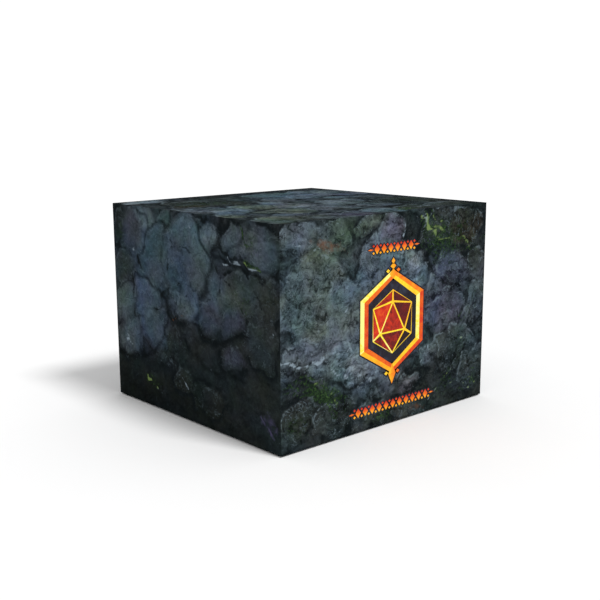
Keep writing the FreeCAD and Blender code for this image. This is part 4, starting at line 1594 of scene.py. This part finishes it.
@dataclass
class Emblem(FrontPrint):
    """Twenty-sided gem in a chiselled hexagon frame, with lozenge finials, in place of the printed mark."""

    across: float = 151.0
    up: float = 108.5
    frame_reach: float = 54.0
    frame_inner: Point = (0.76, 0.83)
    gem_reach: float = 33.5
    gem_line: float = 1.75
    gem_light: tuple[float, float, float] = (-0.62, 0.35, 0.70)
    gem_edge_on: float = 0.05
    margin: float = 1.7
    finial_outline: float = 4.42

    def build(self) -> None:
        """Build the dark ground, the frame, the gem and the finials."""
        top, bottom = self.frame_reach, -self.frame_reach
        finials = ((0.0, top + 8.6, 5.2, 6.8), (0.0, top + 3.4, 8.4, 6.4), (0.0, top - 4.4, 11.5, 10.6),
                   (0.0, bottom - 0.6, 11.0, 22.0), (-7.6, top - 1.2, 5.6, 4.2), (7.6, top - 1.2, 5.6, 4.2),
                   (-8.6, bottom + 0.8, 5.6, 4.2), (8.6, bottom + 0.8, 5.6, 4.2))
        ground = bmesh.new()
        reach = (self.frame_reach + self.margin) * MM
        bmesh.ops.create_circle(ground, cap_ends=True, radius=reach, segments=6)
        self.lozenges(ground, finials, self.finial_outline, split=False)
        self.plate("emblem_ground", ground, self.outline_top)
        self._frame()
        self._gem()
        shape = bmesh.new()
        self.lozenges(shape, finials)
        self.plate("emblem_finials", shape, 0.0, lambda middle, spot: (
            0.66 - 0.018 * spot.x / MM - 0.006 * abs(spot.z - middle.z) / MM))

    def _frame(self) -> None:
        """Build the chiselled band: an outer and an inner slope along each side."""
        shape = bmesh.new()
        reach = self.frame_reach * MM
        bmesh.ops.create_circle(shape, cap_ends=False, radius=reach, segments=6)
        rim = list(shape.edges)
        narrow = [(1 + share) / 2 for share in self.frame_inner]
        ridge = reach * sum(narrow) / 2 * math.cos(math.pi / 6)
        for size in (narrow, [inner / outer for inner, outer in zip(self.frame_inner, narrow)]):
            verts, rim = draw_out(shape, rim)
            bmesh.ops.scale(shape, vec=(*size, 1.0), verts=verts)

        def heat(middle: Vector, spot: Vector) -> float:
            """Let outer slopes glow on the left, inner slopes on the right.

            Args:
                middle: Middle of the face.
                spot: The corner.

            Returns:
                The heat.
            """
            outer = math.hypot(middle.x, middle.z) > ridge
            lit = (0.2 * middle.z - 1.15 * middle.x if outer else 1.15 * middle.x - 0.15 * middle.z) / reach
            return max(0.38, 0.64 + 0.42 * lit + 0.09 * spot.z / reach)

        self.plate("emblem_frame", shape, self.band_top, heat)

    def _gem(self) -> None:
        """Flatten the near half of an icosahedron into ten separate facets."""
        shape = bmesh.new()
        bmesh.ops.create_icosphere(shape, subdivisions=1, radius=self.gem_reach * MM)
        shape.faces.ensure_lookup_table()
        facing = shape.faces[0].normal.rotation_difference(Vector((0.0, 0.0, 1.0))).to_matrix()
        bmesh.ops.rotate(shape, cent=(0.0, 0.0, 0.0), matrix=facing, verts=list(shape.verts))
        shape.normal_update()
        near = max(shape.faces, key=lambda face: face.normal.z)
        point = max(near.verts, key=lambda vert: vert.co.length)
        level = Matrix.Rotation(math.pi / 2 - math.atan2(point.co.y, point.co.x), 3, "Z")
        bmesh.ops.rotate(shape, cent=(0.0, 0.0, 0.0), matrix=level, verts=list(shape.verts))
        shape.normal_update()
        hidden = [face for face in shape.faces if face.normal.z < self.gem_edge_on]
        bmesh.ops.delete(shape, geom=hidden, context="FACES")
        facets = [(face.calc_center_median().to_2d(), face.normal.copy()) for face in shape.faces]
        grow = self.gem_reach * MM / max(vert.co.to_2d().length for vert in shape.verts)
        bmesh.ops.scale(shape, vec=(grow, grow, 0.0), verts=list(shape.verts))
        bmesh.ops.inset_individual(shape, faces=list(shape.faces), thickness=self.gem_line * MM)

        def heat(middle: Vector, spot: Vector) -> float:
            """Light each facet by the slope it had on the solid gem, and its outline brightly.

            Args:
                middle: Middle of the face.
                spot: The corner.

            Returns:
                The heat.
            """
            flat = Vector((middle.x, middle.z)) / grow
            place, slope = min(facets, key=lambda facet: (facet[0] - flat).length)
            lit = slope.dot(Vector(self.gem_light))
            drop = -spot.z / (self.gem_reach * MM)
            if (place - flat).length < self.gem_line * MM * 0.8:
                return 0.04 + 0.30 * lit + 0.06 * drop
            return 0.82 + 0.14 * lit + 0.12 * drop

        self.plate("emblem_gem", shape, self.band_top, heat)


@dataclass
class OrnamentBand(FrontPrint):
    """Row of lozenges and bars on the front, in place of a printed line."""

    name: str = "ornament_band"
    width: float = 70.0
    height: float = 12.0
    repeats: int = 6
    outline: float = 2.88

    def build(self) -> None:
        """Build the dark outlines and the glowing shapes."""
        pitch, tall = self.width / (self.repeats + 1), self.height
        row = [(pitch * (index - (self.repeats - 1) / 2), 0.0, pitch * 0.74, tall * 0.82)
               for index in range(self.repeats)]
        row += [(pitch * (index - self.repeats / 2), way * tall * 0.30, pitch * 0.34, tall * 0.24)
                for index in range(self.repeats + 1) for way in (1, -1)]
        row += [(way * (self.width / 2 - pitch * 0.1), 0.0, pitch * 0.8, tall * 0.16) for way in (-1, 1)]
        dark, glowing = bmesh.new(), bmesh.new()
        self.lozenges(dark, row, self.outline, split=False)
        self.plate(f"{self.name}_outline", dark, self.outline_top)
        self.lozenges(glowing, row)
        self.plate(self.name, glowing, 0.0, lambda middle, spot: 0.5 - 0.05 * spot.z / MM)


@dataclass
class LooseStack:
    """Base of a stack of loose sheets in the tray, set down slightly askew."""

    node: str
    seed: int

    def pile(self, shape: bmesh.types.BMesh, count: int, pitch: float, stray: float,
             turns: Callable[[np.random.Generator], float]) -> None:
        """Copy the one sheet in a shape up to a stack where its CAD node is.

        Args:
            shape: The sheet, flat, with its middle at the origin.
            count: How many sheets the stack has.
            pitch: Height from one sheet to the next.
            stray: How far a sheet may lie off the middle.
            turns: Draws a sheet's turn.
        """
        low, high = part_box(self.node)
        middle = (low + high) / 2
        sheet = [*shape.verts, *shape.edges, *shape.faces]
        chance = np.random.default_rng(self.seed)
        for index in range(count):
            own = sheet if index == count - 1 else bmesh.ops.duplicate(shape, geom=sheet)["geom"]
            verts = verts_in(own)
            turn = Matrix.Rotation(turns(chance), 3, "Z")
            bmesh.ops.rotate(shape, cent=(0.0, 0.0, 0.0), matrix=turn, verts=verts)
            step = (middle.x + chance.uniform(-1, 1) * stray, middle.y + chance.uniform(-1, 1) * stray,
                    low.z + index * pitch)
            bmesh.ops.translate(shape, vec=step, verts=verts)


@dataclass
class CardDeck(LooseStack):
    """Deck of loose cards, each a thin rounded sheet."""

    finish_name: str
    ink: Colour
    accent: Colour
    stray: float = 0.28 * MM
    thickness: float = 0.30 * MM
    pitch: float = 0.32 * MM
    corner: float = 3.2 * MM
    turn: float = math.radians(0.35) / 3

    def build(self) -> None:
        """Build the deck where its CAD block is."""
        low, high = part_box(self.node)
        middle, half = (low + high) / 2, (high - low) / 2
        shape = bmesh.new()
        size = Matrix.Diagonal((half.x - self.stray, half.y - self.stray, 1.0, 1.0))
        corners = bmesh.ops.create_grid(shape, x_segments=1, y_segments=1, size=1.0, matrix=size)["verts"]
        bmesh.ops.bevel(shape, geom=corners, offset=self.corner, offset_type="OFFSET", affect="VERTICES",
                        segments=4, profile=0.5, material=-1)
        raise_plate(shape, 0.0, self.thickness)
        count = int((high.z - low.z) / self.pitch)
        self.pile(shape, count, self.pitch, self.stray, lambda chance: chance.normal(0.0, self.turn))
        finish = CardStock(self.finish_name, (middle.x, middle.y), (half.x, half.y), self.ink, self.accent)
        shown_piece(f"{self.node}_cards", shape, finish, "tray", "playing_cards", self.node)


@dataclass
class TokenStack(LooseStack):
    """Stack of round punched tokens with pressed edges."""

    finish: TokenPrint
    inset: float = 0.35 * MM
    stray: float = 0.245 * MM
    count: int = 6
    edge: float = 0.35 * MM
    gap: float = 0.04 * MM
    segments: int = 48
    sharp: float = math.radians(70.0)

    def build(self) -> None:
        """Build the stack where its CAD disc is."""
        low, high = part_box(self.node)
        radius = (high.x - low.x) / 2 - self.inset
        thick = (high.z - low.z) / self.count
        shape = bmesh.new()
        spot = shape.verts.layers.float_vector.new("print")
        place = Matrix.Translation((0.0, 0.0, thick / 2))
        bmesh.ops.create_cone(shape, cap_ends=True, segments=self.segments, radius1=radius, radius2=radius,
                              depth=thick - self.gap, matrix=place)
        rims = [edge for edge in shape.edges if edge.calc_face_angle() > self.sharp]
        bmesh.ops.bevel(shape, geom=rims, offset=self.edge, offset_type="OFFSET", affect="EDGES", segments=2,
                        profile=0.5, material=-1)
        for vert in shape.verts:
            vert[spot] = Vector((vert.co.x / radius, vert.co.y / radius, 0.0))
        self.pile(shape, self.count, thick, self.stray, lambda chance: chance.uniform(0, 2 * math.pi))
        for face in shape.faces:
            face.smooth = len(face.verts) == 4
        shown_piece(f"{self.node}_discs", shape, self.finish, "tray", "token_board", self.node)


# Whole parts


@dataclass
class BoardsAndPapers:
    """The plain boards, linings and tapes of the lid, the base and the insert, kept from the CAD part."""

    nodes: dict[str, bpy.types.Object]
    greyboard: PlainSheet = PlainSheet("greyboard", printed(150, 146, 138), printed(104, 100, 92), 0.5, 0.85)
    lining: PlainSheet = PlainSheet("lining_paper", printed(238, 236, 230), printed(206, 203, 194), 0.4, 0.62)
    tape: PlainSheet = PlainSheet("stay_tape", printed(196, 164, 122), printed(150, 118, 80), 0.6, 0.7)
    facing: dict[Facing, tuple[str, ...]] = field(default_factory=lambda: {
        Facing.X: ("bay_column_divider_1", "bay_column_divider_2", "tray_left_wall", "tray_right_wall",
                   "card_partition_1", "card_partition_2", "token_partition", "token_column_partition"),
        Facing.Y: ("bay_row_divider_1", "bay_row_divider_2", "book_panel", "tray_front_wall",
                   "tray_back_wall", "row_partition", "token_row_partition"),
        Facing.Z: ("tray_floor",)})

    def build(self) -> None:
        """Dress every board, lining and tape."""
        dress(self.nodes, ("lid_board", "base_board"), self.greyboard)
        dress(self.nodes, ("lid_liner", "base_liner"), self.lining)
        dress(self.nodes, sorted(name for name in self.nodes if "stay_tape" in name), self.tape)
        for facing, names in self.facing.items():
            dress(self.nodes, names, LinedBoard(facing))


@dataclass
class Dice:
    """Five dice of cast resin, kept from the CAD part."""

    nodes: dict[str, bpy.types.Object]
    size: float = 16.0 * MM
    yaws: tuple[float, ...] = (12.0, -25.0, 40.0, 5.0, -33.0)
    red: tuple[Colour, ...] = (printed(150, 22, 16), printed(206, 60, 24), printed(250, 240, 214))
    teal: tuple[Colour, ...] = (printed(26, 52, 66), printed(50, 96, 104), printed(250, 240, 214))
    bone: tuple[Colour, ...] = (printed(228, 222, 206), printed(204, 192, 166), printed(30, 28, 30))

    def build(self) -> None:
        """Dress each die."""
        resins = (self.red, self.red, self.teal, self.teal, self.bone)
        for index, (yaw, colours) in enumerate(zip(self.yaws, resins), start=1):
            low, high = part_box(f"die_{index}")
            name = f"die_resin_{index}"
            finish = DieResin(name, (low + high) / 2, math.radians(yaw), self.size / 2, *colours)
            dress(self.nodes, (f"die_{index}",), finish)


@dataclass
class RuleBook:
    """Stapled rule book, kept from the CAD part."""

    nodes: dict[str, bpy.types.Object]

    def build(self) -> None:
        """Dress the cover, the pages and the staples."""
        dress(self.nodes, ("rulebook_cover",), BookCover(*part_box("rulebook_cover")))
        dress(self.nodes, ("rulebook_pages",), PageBlock())
        dress(self.nodes, ("rulebook_staples",), StapleWire())


@dataclass
class Studio:
    """White floor, soft light and the camera."""

    place: tuple[float, float, float] = (-0.69897, -0.78540, 0.31953)
    yaw: float = 48.262
    pitch: float = -11.259
    roll: float = -0.259
    lens: float = 57.04
    sensor: float = 36.0
    floor_size: float = 60.0
    room_light: float = 0.62
    seen_light: float = 1.05
    key_power: float = 1.9
    key_spread: float = 15.0
    key_turn: float = -79.0
    key_height: float = 56.0

    def build(self) -> None:
        """Set up floor, room, light and camera."""
        self._floor()
        self._world()
        self._sun()
        self._camera()
        bpy.context.scene.view_settings.view_transform = "Standard"

    def _floor(self) -> None:
        """Lay the floor."""
        shape = bmesh.new()
        bmesh.ops.create_grid(shape, x_segments=8, y_segments=8, size=self.floor_size / 2)
        mesh = bpy.data.meshes.new("studio_floor")
        shape.to_mesh(mesh)
        shape.free()
        mesh.materials.append(StudioFloor().material())
        floor = bpy.data.objects.new("studio_floor", mesh)
        bpy.context.scene.collection.objects.link(floor)

    def _world(self) -> None:
        """Fill the room with white light, a little brighter where the camera sees it."""
        world = bpy.data.worlds.new("studio_room")
        world.use_nodes = True
        bpy.context.scene.world = world
        graph = Graph(world.node_tree)
        seen = Value(graph, graph.add("LightPath").outputs["Is Camera Ray"])
        background = world.node_tree.nodes["Background"]
        background.inputs["Color"].default_value = (1.0, 1.0, 1.0, 1.0)
        strength = seen * (self.seen_light - self.room_light) + self.room_light
        graph.feed(background.inputs["Strength"], strength)

    def _sun(self) -> None:
        """Hang one soft light high in front, a little to the right."""
        lamp = bpy.data.lights.new("key_light", "SUN")
        lamp.energy = self.key_power
        lamp.angle = math.radians(self.key_spread)
        light = bpy.data.objects.new("key_light", lamp)
        light.rotation_euler = bearing(self.key_turn, self.key_height).to_track_quat("Z", "Y").to_euler()
        bpy.context.scene.collection.objects.link(light)

    def _camera(self) -> None:
        """Place the camera."""
        ahead = bearing(self.yaw, self.pitch)
        roll = math.radians(self.roll)
        level = ahead.cross(Vector((0.0, 0.0, 1.0))).normalized()
        upright = level.cross(ahead)
        right = math.cos(roll) * level + math.sin(roll) * upright
        above = math.cos(roll) * upright - math.sin(roll) * level
        lens = bpy.data.cameras.new("studio_camera")
        lens.lens = self.lens
        lens.sensor_width = self.sensor
        lens.clip_start = 0.01
        camera = bpy.data.objects.new("studio_camera", lens)
        turned = Matrix((right, above, -ahead)).transposed().to_4x4()
        camera.matrix_world = Matrix.Translation(self.place) @ turned
        bpy.context.scene.collection.objects.link(camera)
        bpy.context.scene.camera = camera


def bearing(turn: float, height: float) -> Vector:
    """Work out a direction.

    Args:
        turn: Turn about +Z from +X, in degrees.
        height: Height over the floor, in degrees.

    Returns:
        The way that points there.
    """
    turn, height = math.radians(turn), math.radians(height)
    return Vector((math.cos(turn) * math.cos(height), math.sin(turn) * math.cos(height), math.sin(height)))


def main() -> None:
    """Build the looks of every part of the game box."""
    logging.basicConfig(level=logging.INFO, format="%(name)s: %(message)s")
    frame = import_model()
    nodes = frame["nodes"]
    Studio().build()
    lid_sides = {Side.FRONT: front_painting(), Side.LEFT: left_painting(), Side.TOP: top_painting(),
                 Side.RIGHT: scattered_painting(285.0, 220.0, 11),
                 Side.BACK: scattered_painting(300.0, 220.0, 23)}
    PrintedHalf("lid_printed_wrap", "lid", "lid_wrap", True, lid_sides).build()
    base_sides = {side: scattered_painting(*size, seed) for side, size, seed in (
        (Side.FRONT, (293.0, 218.0), 31), (Side.BACK, (293.0, 218.0), 37), (Side.LEFT, (278.0, 218.0), 41),
        (Side.RIGHT, (278.0, 218.0), 43), (Side.TOP, (293.0, 278.0), 47))}
    PrintedHalf("base_printed_wrap", "base", "base_wrap", False, base_sides).build()
    Emblem().build()
    OrnamentBand(152.0, 185.0, name="upper_ornament").build()
    OrnamentBand(153.0, 21.5, name="lower_ornament", width=122.0, repeats=11).build()
    BoardsAndPapers(nodes).build()
    CardDeck("card_deck_1", 3, "deep_red_cards", printed(120, 26, 24), printed(236, 214, 176)).build()
    CardDeck("card_deck_2", 5, "slate_blue_cards", printed(34, 60, 82), printed(206, 220, 222)).build()
    Dice(nodes).build()
    tokens = (TokenPrint("amber_token", printed(120, 66, 24), printed(240, 190, 92), 6),
              TokenPrint("green_token", printed(34, 70, 50), printed(190, 210, 150), 5),
              TokenPrint("blue_token", printed(34, 52, 84), printed(176, 200, 222), 8),
              TokenPrint("red_token", printed(104, 26, 26), printed(238, 190, 160), 4))
    for index, finish in enumerate(tokens, start=1):
        TokenStack(f"token_stack_{index}", 60 + index, finish).build()
    RuleBook(nodes).build()


if __name__ == "__main__":
    main()
